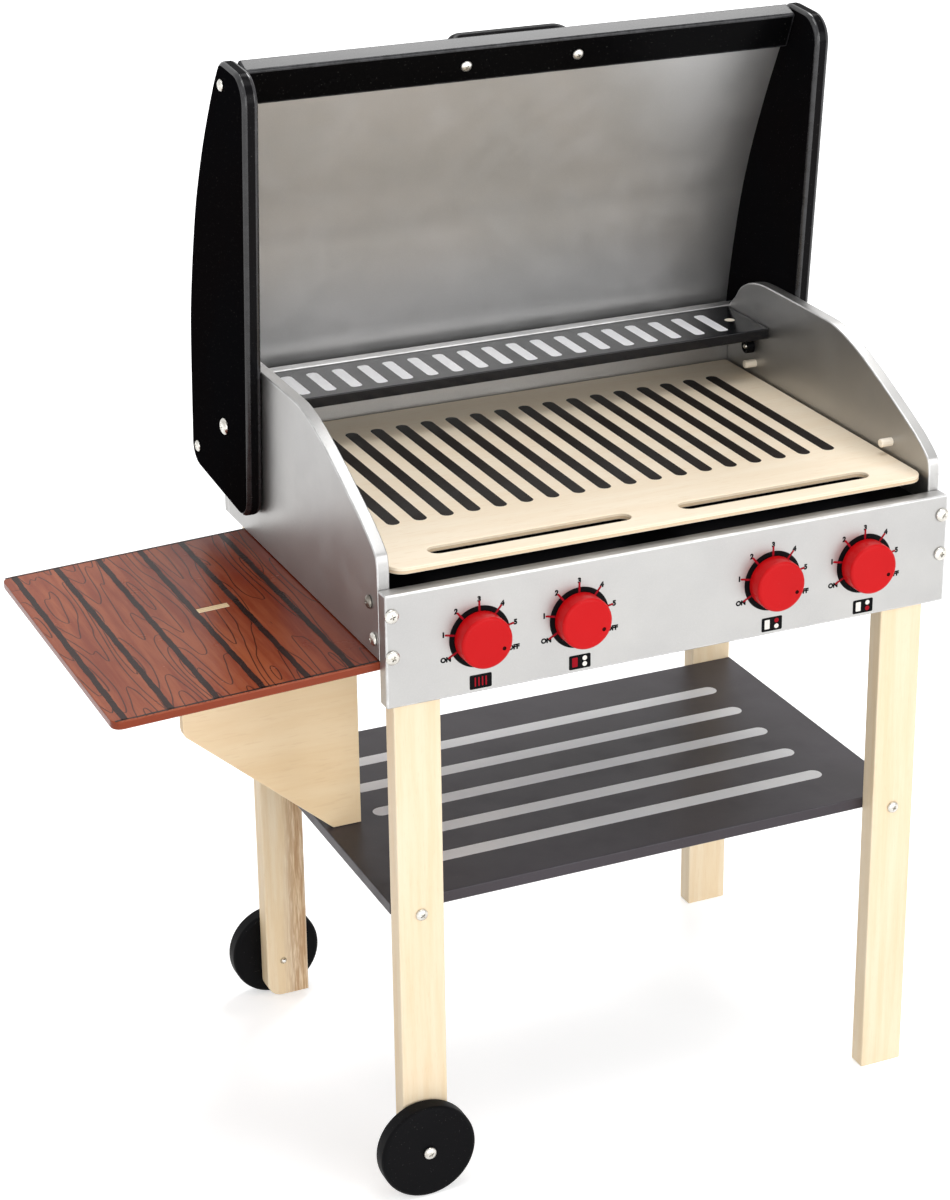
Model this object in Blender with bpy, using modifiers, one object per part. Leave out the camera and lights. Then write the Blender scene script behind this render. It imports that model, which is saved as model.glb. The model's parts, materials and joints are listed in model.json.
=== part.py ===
"""Wooden toy barbecue grill: a box on four legs with a hinged lid, a side tray and a lower shelf."""

from math import cos, pi, radians, sin, tan

import bmesh
import bpy
from mathutils import Matrix, Vector

# Lengths are metres. X runs along the grill's width from its middle, Y from the front panel's face to
# the back, Z up from the ground. The lid has its own frame on its hinge, described above its pieces.

# Clearances shared by all pieces
seat_gap = 0.0003
cut_overrun = 0.002
weld_distance = 0.00001

# Front panel
grill_width = 0.360
front_panel_thickness = 0.010
front_panel_height = 0.0677
front_panel_drop = 0.0059
front_panel_edge = 0.001

# Side panels: a straight front edge up to a shoulder, and a crown that rises behind it
side_panel_thickness = 0.0076
side_panel_depth = 0.2479
side_panel_skirt = 0.027
side_panel_shoulder = 0.0524
side_panel_crown = 0.062
side_panel_edge = 0.001
side_crown_shares = (
    (0.0, 0.0), (0.004, 0.11), (0.017, 0.185), (0.07, 0.33), (0.155, 0.505), (0.256, 0.698),
    (0.358, 0.868), (0.447, 0.968), (0.53, 0.992), (0.743, 1.0), (0.831, 0.995), (0.883, 0.956),
    (0.917, 0.9), (0.943, 0.831), (0.966, 0.72), (1.0, 0.6),
)

# Back panel
back_panel_thickness = 0.0076
back_panel_height = 0.0893
back_panel_edge = 0.001

# Legs: the two on the wheels' side are shorter and have a rounded outer corner
leg_width = 0.0285
leg_thickness = 0.0125
leg_height = 0.374
leg_edge = 0.0008
wheel_leg_lift = 0.004
wheel_leg_corner = 0.010

# Boards inside the frame
floor_thickness = 0.008
shelf_thickness = 0.0074
shelf_height = 0.1868
board_edge = 0.0006
rear_rail_thickness = 0.0125

# Warming rack, just below the back panel's top edge
rack_drop = 0.001
rack_thickness = 0.007
rack_depth = 0.055
rack_dowel_radius = 0.0035
rack_dowel_length = 0.014
rack_dowel_inset = 0.0138

# Pegs: the lower four carry the grate, the upper four keep it from tipping
peg_radius = 0.0026
peg_reach = 0.008
peg_seat = 0.005
peg_chamfer = 0.0006
lower_peg_rise = 0.01
upper_peg_rise = 0.0245
front_peg_inset = 0.0424
rear_peg_inset = 0.0374

# Cooking grate, a thin board with two slots for the hands
grate_thickness = 0.004
grate_side_clearance = 0.0018
grate_front_clearance = 0.0008
grate_back_clearance = 0.0018
grate_front_corner = 0.010
grate_back_corner = 0.002
hand_slot_width = 0.011
hand_slot_length = 0.1258
hand_slot_web = 0.0316
hand_slot_inset = 0.0181

# Side tray, tucked under the left side panel and drooping outwards
tray_reach = 0.1533
tray_width = 0.2235
tray_thickness = 0.005
tray_edge = 0.0008
tray_droop = radians(2.3)

# Tray bracket, one board that stands on the shelf
bracket_thickness = 0.006
bracket_setback = 0.1177
bracket_reach = 0.079
bracket_inner_reach = 0.0234
bracket_foot_width = 0.0182
bracket_outer_rise = 0.0762
bracket_corner = 0.008
tenon_length = 0.022
tenon_inset = 0.0102

# Knobs, each one piece with its shaft and the collar behind the panel
knob_radius = 0.0155
knob_thickness = 0.0112
knob_edge = 0.0018
knob_end_inset = 0.0563
knob_pair_gap = 0.0615
knob_shaft_radius = 0.004
knob_collar_radius = 0.007
knob_collar_thickness = 0.003
knob_dot_radius = 0.0012
knob_dot_depth = 0.0008
knob_dot_reach = 0.0109
knob_dot_angle = radians(-25)

# Wheels
wheel_radius = 0.030
wheel_thickness = 0.012
wheel_edge = 0.0022
wheel_offset = 0.003

# Lid: two plates with a bent skin, a front board and a rear rail between them
hinge_inset = 0.0325
hinge_drop = 0.0109
lid_lean = radians(5)
lid_side_gap = 0.0005
lid_plate_thickness = 0.010
lid_plate_edge = 0.0027
lid_overhang = 0.0018
lid_back = 0.0494
lid_skirt = 0.0375
lid_crown = 0.0654
lid_front_corner = 0.017
lid_heel_corner = 0.016
lid_rear_corner = 0.014
lid_crown_shares = (
    (-0.09, 0.998), (0.0, 1.0), (0.147, 0.998), (0.243, 0.979), (0.389, 0.902), (0.535, 0.794),
    (0.634, 0.686), (0.734, 0.552), (0.834, 0.391), (0.935, 0.205), (0.987, 0.087),
)
lid_nose_shares = ((0.998, 0.03), (1.0, -0.03))
skin_thickness = 0.0035
skin_recess = 0.0015
skin_rear_inset = 0.0139
skin_shares = (
    (0.057, 0.772), (0.215, 0.719), (0.382, 0.627), (0.47, 0.558), (0.571, 0.459), (0.73, 0.267),
)
lid_board_width = 0.0245
lid_board_thickness = 0.0125
lid_board_edge = 0.0015
lid_board_tilt = radians(-18.1)
lid_board_inset = 0.0131
lid_board_drop = 0.0022
lid_rail_width = 0.0125
lid_rail_back_inset = 0.0084
lid_rail_top_inset = 0.0079
lid_rail_edge = 0.001

# Lid handle, a bent bar on two feet, a little left of the lid's middle
handle_radius = 0.0045
handle_shift = 0.0038
handle_half_span = 0.0366
handle_offset = 0.013
handle_bend = 0.0065

# Screws: dome heads on plain shanks
screw_shank_radius = 0.0015
screw_head_height = 0.0022
screw_tip = 0.0015
panel_screw_head = 0.00425
panel_screw_length = 0.017
panel_screw_upper_rise = 0.0302
panel_screw_lower_rise = 0.0055
side_screw_head = 0.0039
side_screw_length = 0.020
floor_screw_setback = 0.0117
leg_screw_rise = 0.0055
shelf_screw_head = 0.00375
shelf_screw_length = 0.026
lid_screw_head = 0.0036
lid_screw_length = 0.024
lid_rail_screw_inset = 0.0142
handle_screw_length = 0.018

# Hinge bolts, each with its cap nut, and wheel axles
hinge_head_radius = 0.0053
hinge_head_height = 0.003
hinge_shank_radius = 0.0025
hinge_nut_radius = 0.0048
hinge_nut_thickness = 0.005
hinge_bolt_end = 0.0015
axle_radius = 0.0022
axle_head_radius = 0.004
axle_head_height = 0.0025
front_axle_wall = 0.002
axle_nut_radius = 0.0045
axle_nut_thickness = 0.004

# Facets
knob_sides = 28
wheel_sides = 40
small_sides = 16
bend_steps = 5

# Places that several pieces share
half_width = grill_width / 2
inner_half = half_width - side_panel_thickness
board_half = inner_half - seat_gap
box_front = front_panel_thickness + seat_gap
box_back = box_front + side_panel_depth
back_face = box_back + seat_gap + back_panel_thickness
side_panel_bottom = leg_height - side_panel_skirt
back_panel_top = side_panel_bottom + back_panel_height
leg_x = board_half - leg_width / 2
front_leg_y = box_front + leg_thickness / 2
rear_leg_y = box_back - leg_thickness / 2
floor_bottom = leg_height + seat_gap
floor_top = floor_bottom + floor_thickness
rack_top = back_panel_top - rack_drop
rack_bottom = rack_top - rack_thickness
rack_y = box_back - rack_depth / 2
lower_peg_height = floor_top + lower_peg_rise
upper_peg_height = floor_top + upper_peg_rise
grate_bottom = lower_peg_height + peg_radius + seat_gap
grate_depth = side_panel_depth - grate_front_clearance - grate_back_clearance
hand_slot_offset = (hand_slot_web + hand_slot_length) / 2
knob_z = grate_bottom - front_panel_drop - front_panel_height / 2
knob_outer_x = half_width - knob_end_inset
knob_inner_x = knob_outer_x - knob_pair_gap
hinge_y = box_back - hinge_inset
hinge_z = rack_bottom - hinge_drop
lid_front = hinge_y + lid_overhang
plate_inner_x = half_width + lid_side_gap
plate_outer_x = plate_inner_x + lid_plate_thickness
lid_half = plate_inner_x - seat_gap
tray_inner_x = -half_width + side_panel_thickness - seat_gap
tray_top_z = side_panel_bottom - seat_gap
bracket_y = box_front + bracket_setback
tenon_reach = bracket_reach - tenon_inset
axle_x = -leg_x - wheel_offset
sides = {"left": -1, "right": 1}

# Material colours, roughness and metallic values
finishes = {
    "silver_paint": ((0.60, 0.60, 0.61), 0.38, 0.55),
    "black_paint": ((0.018, 0.018, 0.02), 0.32, 0.0),
    "pale_wood": ((0.78, 0.62, 0.42), 0.55, 0.0),
    "plywood": ((0.72, 0.55, 0.36), 0.6, 0.0),
    "tray_stain": ((0.27, 0.07, 0.03), 0.3, 0.0),
    "dark_lacquer": ((0.05, 0.05, 0.055), 0.25, 0.0),
    "red_gloss": ((0.62, 0.015, 0.02), 0.2, 0.0),
    "steel": ((0.7, 0.7, 0.7), 0.25, 1.0),
}


def make_material(name):
    colour, roughness, metallic = finishes[name]
    material = bpy.data.materials.new(name)
    material.use_nodes = True
    shader = material.node_tree.nodes["Principled BSDF"]
    shader.inputs["Base Color"].default_value = (*colour, 1.0)
    shader.inputs["Roughness"].default_value = roughness
    shader.inputs["Metallic"].default_value = metallic
    return material


def make_collection(name):
    group = bpy.data.collections.new(name)
    bpy.context.scene.collection.children.link(group)
    return group


def make_empty(name, parent=None, location=(0, 0, 0)):
    empty = bpy.data.objects.new(name, None)
    parts.objects.link(empty)
    empty.parent = parent
    empty.location = location
    return empty


def add_piece(name, mesh, finish, parent):
    piece = bpy.data.objects.new(name, mesh)
    parts.objects.link(piece)
    mesh.materials.append(materials[finish])
    piece.parent = parent
    return piece


def bevel(piece, width, segments=1):
    modifier = piece.modifiers.new("edges", "BEVEL")
    modifier.width = width
    modifier.segments = segments
    modifier.limit_method = "ANGLE"
    modifier.angle_limit = radians(40)
    modifier.use_clamp_overlap = True


def box(name, size, centre, finish, parent, edge=0.0, segments=1):
    shape = bmesh.new()
    bmesh.ops.create_cube(shape, size=1.0, matrix=Matrix.Diagonal((*size, 1.0)))
    mesh = bpy.data.meshes.new(name)
    shape.to_mesh(mesh)
    shape.free()
    piece = add_piece(name, mesh, finish, parent)
    piece.location = centre
    if edge:
        bevel(piece, edge, segments)
    return piece


def flat_board(name, outlines, thickness, finish, parent):
    """A flat board from one outer outline and any hole outlines, in the XY plane about Z = 0."""
    curve = bpy.data.curves.new(name, "CURVE")
    curve.dimensions = "2D"
    curve.fill_mode = "BOTH"
    curve.extrude = thickness / 2
    for outline in outlines:
        spline = curve.splines.new("POLY")
        spline.points.add(len(outline) - 1)
        for point, (across, up) in zip(spline.points, outline):
            point.co = (across, up, 0, 1)
        spline.use_cyclic_u = True
    return solid_from_curve(name, curve, finish, parent)


def solid_from_curve(name, curve, finish, parent):
    source = bpy.data.objects.new(name + "_curve", curve)
    parts.objects.link(source)
    bpy.context.view_layer.update()
    evaluated = source.evaluated_get(bpy.context.evaluated_depsgraph_get())
    mesh = bpy.data.meshes.new_from_object(evaluated)
    mesh.materials.clear()
    shape = bmesh.new()
    shape.from_mesh(mesh)
    bmesh.ops.remove_doubles(shape, verts=shape.verts, dist=weld_distance)
    bmesh.ops.dissolve_limit(shape, angle_limit=radians(0.5), verts=shape.verts, edges=shape.edges)
    shape.to_mesh(mesh)
    shape.free()
    piece = add_piece(name, mesh, finish, parent)
    piece.matrix_world = source.matrix_world
    bpy.data.objects.remove(source, do_unlink=True)
    bpy.data.curves.remove(curve)
    return piece


def stand_across_x(piece, x):
    """Turns a flat board's XY outline into the YZ plane, with its middle at X = x."""
    piece.rotation_euler = (pi / 2, 0, pi / 2)
    piece.location = (x, 0, 0)


def stand_across_y(piece, y):
    """Turns a flat board's XY outline into the XZ plane, with its middle at Y = y."""
    piece.rotation_euler = (pi / 2, 0, 0)
    piece.location = (0, y, 0)


def turned(name, profile, sides_round, finish, parent, closed=False):
    """A round piece about its own Z axis; the profile holds (radius, height) pairs from top to bottom."""
    count = len(profile)
    edges = [(i, i + 1) for i in range(count - 1)]
    if closed:
        edges.append((count - 1, 0))
    mesh = bpy.data.meshes.new(name)
    mesh.from_pydata([(radius, 0, height) for radius, height in profile], edges, [])
    piece = add_piece(name, mesh, finish, parent)
    modifier = piece.modifiers.new("turn", "SCREW")
    modifier.axis = "Z"
    modifier.steps = sides_round
    modifier.render_steps = sides_round
    modifier.use_merge_vertices = True
    modifier.merge_threshold = weld_distance
    modifier.use_smooth_shade = True
    return piece


def aim(piece, point, inward):
    """Puts a turned piece's origin at point with its Z axis opposite to inward."""
    piece.location = point
    piece.rotation_euler = (-Vector(inward)).to_track_quat("Z", "Y").to_euler()


def drill(piece, holes, parent, facets=small_sides):
    """Cuts round holes; each is (point on the surface, direction inward, radius, depth)."""
    shape = bmesh.new()
    for point, inward, radius, depth in holes:
        turn = (-Vector(inward)).to_track_quat("Z", "Y").to_matrix().to_4x4()
        middle = Vector(point) + Vector(inward) * (depth - cut_overrun) / 2
        bmesh.ops.create_cone(
            shape, cap_ends=True, segments=facets, radius1=radius, radius2=radius,
            depth=depth + cut_overrun, matrix=Matrix.Translation(middle) @ turn,
        )
    mesh = bpy.data.meshes.new(piece.name + "_holes")
    shape.to_mesh(mesh)
    shape.free()
    cutter = bpy.data.objects.new(piece.name + "_holes", mesh)
    cutters.objects.link(cutter)
    cutter.parent = parent
    cutter.display_type = "WIRE"
    cutter.hide_render = True
    modifier = piece.modifiers.new("holes", "BOOLEAN")
    modifier.operation = "DIFFERENCE"
    modifier.solver = "EXACT"
    modifier.object = cutter


def arc(centre, radius, start, end, steps=bend_steps):
    """Points on an arc in the plane, from angle start to angle end in degrees."""
    angles = [radians(start + (end - start) * i / steps) for i in range(steps + 1)]
    return [(centre[0] + radius * cos(a), centre[1] + radius * sin(a)) for a in angles]


def smooth_run(points, steps=3):
    """A smooth line through the points, with steps spans between each two."""
    padded = [points[0], *points, points[-1]]
    run = []
    for before, start, end, after in zip(padded, padded[1:], padded[2:], padded[3:]):
        for i in range(steps):
            t = i / steps
            run.append(tuple(
                0.5 * (2 * b + (c - a) * t + (2 * a - 5 * b + 4 * c - d) * t**2
                       + (3 * b - a - 3 * c + d) * t**3)
                for a, b, c, d in zip(before, start, end, after)
            ))
    run.append(points[-1])
    return run


def slot_outline(centre, length, width):
    """A slot with round ends along X."""
    radius = width / 2
    reach = length / 2 - radius
    right = arc((centre[0] + reach, centre[1]), radius, -90, 90, 2 * bend_steps)
    left = arc((centre[0] - reach, centre[1]), radius, 90, 270, 2 * bend_steps)
    return right + left


def dome_profile(head_radius, head_height, steps=3):
    """A dome head from its top on the axis down to its rim at height 0."""
    return [
        (head_radius * sin(pi / 2 * i / steps), head_height * cos(pi / 2 * i / steps))
        for i in range(steps + 1)
    ]


def screw(name, point, inward, head_radius, length, parent):
    """A dome-head screw, its head a seat gap off the surface at point."""
    tip = length - screw_tip
    profile = dome_profile(head_radius, screw_head_height)
    profile += [(screw_shank_radius, 0), (screw_shank_radius, -tip), (0, -length)]
    piece = turned(name, profile, small_sides, "steel", parent)
    aim(piece, Vector(point) - Vector(inward) * seat_gap, inward)


def screw_hole(point, inward, length):
    """The hole that a screw of this length needs, measured from the surface under its head."""
    return (point, inward, screw_shank_radius + seat_gap, length)


def dowel(name, point, outward, radius, length, finish, parent):
    """A round peg with a chamfered end at point, reaching back along its own axis."""
    profile = [
        (0, 0), (radius - peg_chamfer, 0), (radius, -peg_chamfer), (radius, -length), (0, -length),
    ]
    piece = turned(name, profile, small_sides, finish, parent)
    aim(piece, point, -Vector(outward))


# Places of the screws and pegs, each as (point on the surface, direction inward)
def panel_screw_spot(side, rise):
    x = side * (half_width - side_panel_thickness / 2)
    return (x, 0, side_panel_bottom + rise), (0, 1, 0)


def side_screw_spots(side):
    x = side * half_width
    inward = (-side, 0, 0)
    leg_screw_z = side_panel_bottom + panel_screw_lower_rise + leg_screw_rise
    return {
        "floor": ((x, box_front + floor_screw_setback, floor_bottom + floor_thickness / 2), inward),
        "leg": ((x, front_leg_y, leg_screw_z), inward),
    }


def shelf_screw_spot(side, end):
    z = shelf_height - shelf_thickness / 2
    if end == "front":
        return (side * leg_x, box_front, z), (0, 1, 0)
    return (side * leg_x, box_back, z), (0, -1, 0)


def peg_spots(side):
    inner_face = side * inner_half
    return {
        "upper_front": (inner_face, box_front + front_peg_inset, upper_peg_height),
        "upper_rear": (inner_face, box_back - rear_peg_inset, upper_peg_height),
        "lower_front": (inner_face, box_front + front_peg_inset, lower_peg_height),
        "lower_rear": (inner_face, box_back - rear_peg_inset, lower_peg_height),
    }


def knob_xs():
    return (-knob_outer_x, -knob_inner_x, knob_inner_x, knob_outer_x)


def make_front_panel():
    centre = (0, front_panel_thickness / 2, knob_z)
    size = (grill_width, front_panel_thickness, front_panel_height)
    panel = box("front_panel", size, centre, "silver_paint", grill, front_panel_edge, 2)
    through = front_panel_thickness + cut_overrun
    holes = [((x, 0, knob_z), (0, 1, 0), knob_shaft_radius + seat_gap, through) for x in knob_xs()]
    for side in sides.values():
        for rise in (panel_screw_upper_rise, panel_screw_lower_rise):
            holes.append(screw_hole(*panel_screw_spot(side, rise), through))
    drill(panel, holes, grill)


def side_panel_outline():
    shoulder = side_panel_bottom + side_panel_shoulder
    crown = [
        (box_front + side_panel_depth * back, shoulder + side_panel_crown * up)
        for back, up in side_crown_shares
    ]
    return [(box_back, side_panel_bottom), (box_front, side_panel_bottom), *smooth_run(crown, 2)]


def make_side_panel(name, side):
    panel = flat_board(
        f"side_panel_{name}", [side_panel_outline()], side_panel_thickness, "silver_paint", grill
    )
    stand_across_x(panel, side * (half_width - side_panel_thickness / 2))
    bevel(panel, side_panel_edge)
    through = side_panel_thickness + cut_overrun
    holes = [screw_hole(*spot, through) for spot in side_screw_spots(side).values()]
    hinge_point = (side * half_width, hinge_y, hinge_z)
    holes.append((hinge_point, (-side, 0, 0), hinge_shank_radius + seat_gap, through))
    for point in peg_spots(side).values():
        holes.append((point, (side, 0, 0), peg_radius + seat_gap, peg_seat + seat_gap))
    for rise in (panel_screw_upper_rise, panel_screw_lower_rise):
        point, inward = panel_screw_spot(side, rise)
        edge_point = (point[0], box_front, point[2])
        depth = panel_screw_length - box_front + seat_gap
        holes.append(screw_hole(edge_point, inward, depth))
    drill(panel, holes, grill)


def make_back_panel():
    y = back_face - back_panel_thickness / 2
    centre = (0, y, side_panel_bottom + back_panel_height / 2)
    size = (grill_width, back_panel_thickness, back_panel_height)
    box("back_panel", size, centre, "silver_paint", grill, back_panel_edge)


def make_floor():
    size = (2 * board_half, side_panel_depth, floor_thickness)
    centre = (0, (box_front + box_back) / 2, floor_bottom + floor_thickness / 2)
    board = box("firebox_floor", size, centre, "black_paint", grill, board_edge)
    depth = side_screw_length - side_panel_thickness
    holes = []
    for side in sides.values():
        point, inward = side_screw_spots(side)["floor"]
        holes.append(screw_hole((side * board_half, point[1], point[2]), inward, depth))
    drill(board, holes, grill)


def make_legs():
    for name, side in sides.items():
        for end, y in (("front", front_leg_y), ("rear", rear_leg_y)):
            leg = make_leg(f"leg_{end}_{name}", side, y)
            point, inward = shelf_screw_spot(side, end)
            holes = [screw_hole(point, inward, leg_thickness + cut_overrun)]
            if side < 0:
                axle_point = (axle_x, point[1], wheel_radius)
                depth = leg_thickness + cut_overrun
                if end == "front":
                    depth = leg_thickness - front_axle_wall
                holes.append((axle_point, inward, axle_radius + seat_gap, depth))
            if end == "front":
                spot, toward = side_screw_spots(side)["leg"]
                start = (side * board_half, spot[1], spot[2])
                holes.append(screw_hole(start, toward, side_screw_length - side_panel_thickness))
            drill(leg, holes, grill)


def make_leg(name, side, y):
    if side > 0:
        size = (leg_width, leg_thickness, leg_height)
        return box(name, size, (leg_x, y, leg_height / 2), "pale_wood", grill, leg_edge)
    outer = -leg_x - leg_width / 2
    inner = outer + leg_width
    corner = (outer + wheel_leg_corner, wheel_leg_lift + wheel_leg_corner)
    outline = [(inner, wheel_leg_lift), (inner, leg_height), (outer, leg_height)]
    outline += arc(corner, wheel_leg_corner, 180, 270)
    leg = flat_board(name, [outline], leg_thickness, "pale_wood", grill)
    stand_across_y(leg, y)
    bevel(leg, leg_edge)
    return leg


def make_shelf():
    depth = side_panel_depth - 2 * leg_thickness - 2 * seat_gap
    size = (2 * board_half, depth, shelf_thickness)
    centre = (0, (box_front + box_back) / 2, shelf_height - shelf_thickness / 2)
    shelf = box("lower_shelf", size, centre, "dark_lacquer", grill, board_edge)
    holes = []
    for side in sides.values():
        for end in ("front", "rear"):
            point, inward = shelf_screw_spot(side, end)
            start = Vector(point) + Vector(inward) * (leg_thickness + seat_gap)
            holes.append(screw_hole(start, inward, shelf_screw_length - leg_thickness))
    drill(shelf, holes, grill)


def make_rear_rail():
    height = grate_bottom - floor_top - 2 * seat_gap
    size = (2 * board_half, rear_rail_thickness, height)
    z = floor_top + seat_gap + height / 2
    box("rear_rail", size, (0, box_back - rear_rail_thickness / 2, z), "pale_wood", grill, board_edge)


def make_warming_rack():
    size = (2 * board_half, rack_depth, rack_thickness)
    centre = (0, rack_y, rack_top - rack_thickness / 2)
    rack = box("warming_rack", size, centre, "dark_lacquer", grill, board_edge)
    through = rack_thickness + cut_overrun
    holes = []
    for name, side in sides.items():
        point = (side * (board_half - rack_dowel_inset), rack_y, rack_top)
        holes.append((point, (0, 0, -1), rack_dowel_radius + seat_gap, through))
        dowel(f"rack_dowel_{name}", point, (0, 0, 1), rack_dowel_radius, rack_dowel_length,
              "pale_wood", grill)
    drill(rack, holes, grill)


def make_pegs():
    for name, side in sides.items():
        for place, point in peg_spots(side).items():
            tip = (point[0] - side * peg_reach, point[1], point[2])
            dowel(f"peg_{place}_{name}", tip, (-side, 0, 0), peg_radius, peg_reach + peg_seat,
                  "pale_wood", grill)


def grate_outline():
    half = inner_half - grate_side_clearance
    front = box_front + grate_front_clearance
    back = front + grate_depth
    front_y = front + grate_front_corner
    back_y = back - grate_back_corner
    front_x = half - grate_front_corner
    back_x = half - grate_back_corner
    return (
        arc((front_x, front_y), grate_front_corner, -90, 0)
        + arc((back_x, back_y), grate_back_corner, 0, 90, 2)
        + arc((-back_x, back_y), grate_back_corner, 90, 180, 2)
        + arc((-front_x, front_y), grate_front_corner, 180, 270)
    )


def make_grate():
    slot_y = box_front + grate_front_clearance + hand_slot_inset
    slots = [
        slot_outline((side * hand_slot_offset, slot_y), hand_slot_length, hand_slot_width)
        for side in sides.values()
    ]
    grate = flat_board("grate", [grate_outline(), *slots], grate_thickness, "plywood", grill)
    grate.location = (0, 0, grate_bottom + grate_thickness / 2)


def tray_drop(x):
    """How far the drooping tray lies below its inner edge at X = x."""
    return (tray_inner_x - x) * tan(tray_droop)


def make_tray():
    hinge_edge = make_empty("tray_edge", grill, (tray_inner_x, box_front, tray_top_z))
    hinge_edge.rotation_euler.y = -tray_droop
    length = (tray_reach + side_panel_thickness - seat_gap) / cos(tray_droop)
    centre = (-length / 2, tray_width / 2, -tray_thickness / 2)
    size = (length, tray_width, tray_thickness)
    tray = box("side_tray", size, centre, "tray_stain", hinge_edge, tray_edge)
    shape = bmesh.new()
    middle_x = -half_width - tenon_reach + tenon_length / 2
    slot_size = (
        tenon_length + 2 * seat_gap, bracket_thickness + 2 * seat_gap, tray_thickness + 2 * cut_overrun
    )
    place = Matrix.Translation((middle_x, bracket_y, tray_top_z - tray_drop(middle_x) - tray_thickness / 2))
    bmesh.ops.create_cube(shape, size=1.0, matrix=place @ Matrix.Diagonal((*slot_size, 1.0)))
    mesh = bpy.data.meshes.new("tray_slot")
    shape.to_mesh(mesh)
    shape.free()
    cutter = bpy.data.objects.new("tray_slot", mesh)
    cutters.objects.link(cutter)
    cutter.parent = grill
    cutter.display_type = "WIRE"
    cutter.hide_render = True
    modifier = tray.modifiers.new("slot", "BOOLEAN")
    modifier.operation = "DIFFERENCE"
    modifier.solver = "EXACT"
    modifier.object = cutter


def make_tray_bracket():
    under_tray = tray_thickness / cos(tray_droop) + seat_gap
    outer_x = -half_width - bracket_reach
    tenon_outer = -half_width - tenon_reach
    tenon_inner = tenon_outer + tenon_length
    wall_x = -board_half
    inner_x = -inner_half + bracket_inner_reach
    foot_z = shelf_height + seat_gap
    top_z = leg_height - seat_gap
    foot_x = inner_x - bracket_foot_width
    corner = (outer_x + bracket_corner, shelf_height + bracket_outer_rise + bracket_corner)
    outline = [
        (inner_x, foot_z),
        (inner_x, top_z),
        (wall_x, top_z),
        (wall_x, tray_top_z - tray_drop(wall_x) - under_tray),
        (tenon_inner, tray_top_z - tray_drop(tenon_inner) - under_tray),
        (tenon_inner, tray_top_z - tray_drop(tenon_inner)),
        (tenon_outer, tray_top_z - tray_drop(tenon_outer)),
        (tenon_outer, tray_top_z - tray_drop(tenon_outer) - under_tray),
        (outer_x, tray_top_z - tray_drop(outer_x) - under_tray),
    ]
    outline += arc(corner, bracket_corner, 180, 240, 3)
    outline.append((foot_x, foot_z))
    bracket = flat_board("tray_bracket", [outline], bracket_thickness, "plywood", grill)
    stand_across_y(bracket, bracket_y)


def make_knobs():
    back = -front_panel_thickness - seat_gap
    top = seat_gap + knob_thickness
    rim = [
        (knob_radius - knob_edge + radius, top - knob_edge + height)
        for radius, height in arc((0, 0), knob_edge, 90, 0, 3)
    ]
    profile = [(0, top), *rim]
    profile += [
        (knob_radius, seat_gap),
        (knob_shaft_radius, seat_gap),
        (knob_shaft_radius, back),
        (knob_collar_radius, back),
        (knob_collar_radius, back - knob_collar_thickness),
        (0, back - knob_collar_thickness),
    ]
    for number, x in enumerate(knob_xs(), start=1):
        knob = turned(f"knob_{number}", profile, knob_sides, "red_gloss", grill)
        aim(knob, (x, 0, knob_z), (0, 1, 0))
        dot = (
            x + knob_dot_reach * cos(knob_dot_angle), -top, knob_z + knob_dot_reach * sin(knob_dot_angle)
        )
        drill(knob, [(dot, (0, 1, 0), knob_dot_radius, knob_dot_depth)], grill, small_sides // 2)


def make_wheels():
    half = wheel_thickness / 2
    bore = axle_radius + seat_gap
    rim_radius = wheel_radius - wheel_edge
    upper = arc((rim_radius, half - wheel_edge), wheel_edge, 90, 0, 3)
    lower = arc((rim_radius, wheel_edge - half), wheel_edge, 0, -90, 3)
    profile = [(bore, half), *upper, *lower, (bore, -half)]
    for end, y in (("front", box_front - seat_gap - half), ("rear", box_back + seat_gap + half)):
        wheel = turned(f"wheel_{end}", profile, wheel_sides, "black_paint", grill, closed=True)
        aim(wheel, (axle_x, y, wheel_radius), (0, 1, 0))


def make_wheel_axles():
    head = dome_profile(axle_head_radius, axle_head_height)
    screw_end = front_axle_wall - leg_thickness - wheel_thickness - seat_gap
    front = turned(
        "wheel_axle_front",
        [*head, (axle_radius, 0), (axle_radius, screw_end + screw_tip), (0, screw_end)],
        small_sides, "steel", grill,
    )
    aim(front, (axle_x, box_front - 2 * seat_gap - wheel_thickness, wheel_radius), (0, 1, 0))
    far_end = -leg_thickness - wheel_thickness - 3 * seat_gap
    rear = turned(
        "wheel_axle_rear",
        [
            *head, (axle_radius, 0), (axle_radius, far_end), (axle_nut_radius, far_end),
            (axle_nut_radius, far_end - axle_nut_thickness), (0, far_end - axle_nut_thickness),
        ],
        small_sides, "steel", grill,
    )
    aim(rear, (axle_x, box_back - leg_thickness - seat_gap, wheel_radius), (0, 1, 0))


def make_body_screws():
    for name, side in sides.items():
        for level, rise in (("upper", panel_screw_upper_rise), ("lower", panel_screw_lower_rise)):
            point, inward = panel_screw_spot(side, rise)
            screw(f"panel_screw_{level}_{name}", point, inward, panel_screw_head, panel_screw_length, grill)
        for place, (point, inward) in side_screw_spots(side).items():
            screw(f"{place}_screw_{name}", point, inward, side_screw_head, side_screw_length, grill)
        for end in ("front", "rear"):
            point, inward = shelf_screw_spot(side, end)
            screw(f"shelf_screw_{end}_{name}", point, inward, shelf_screw_head, shelf_screw_length, grill)


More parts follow.
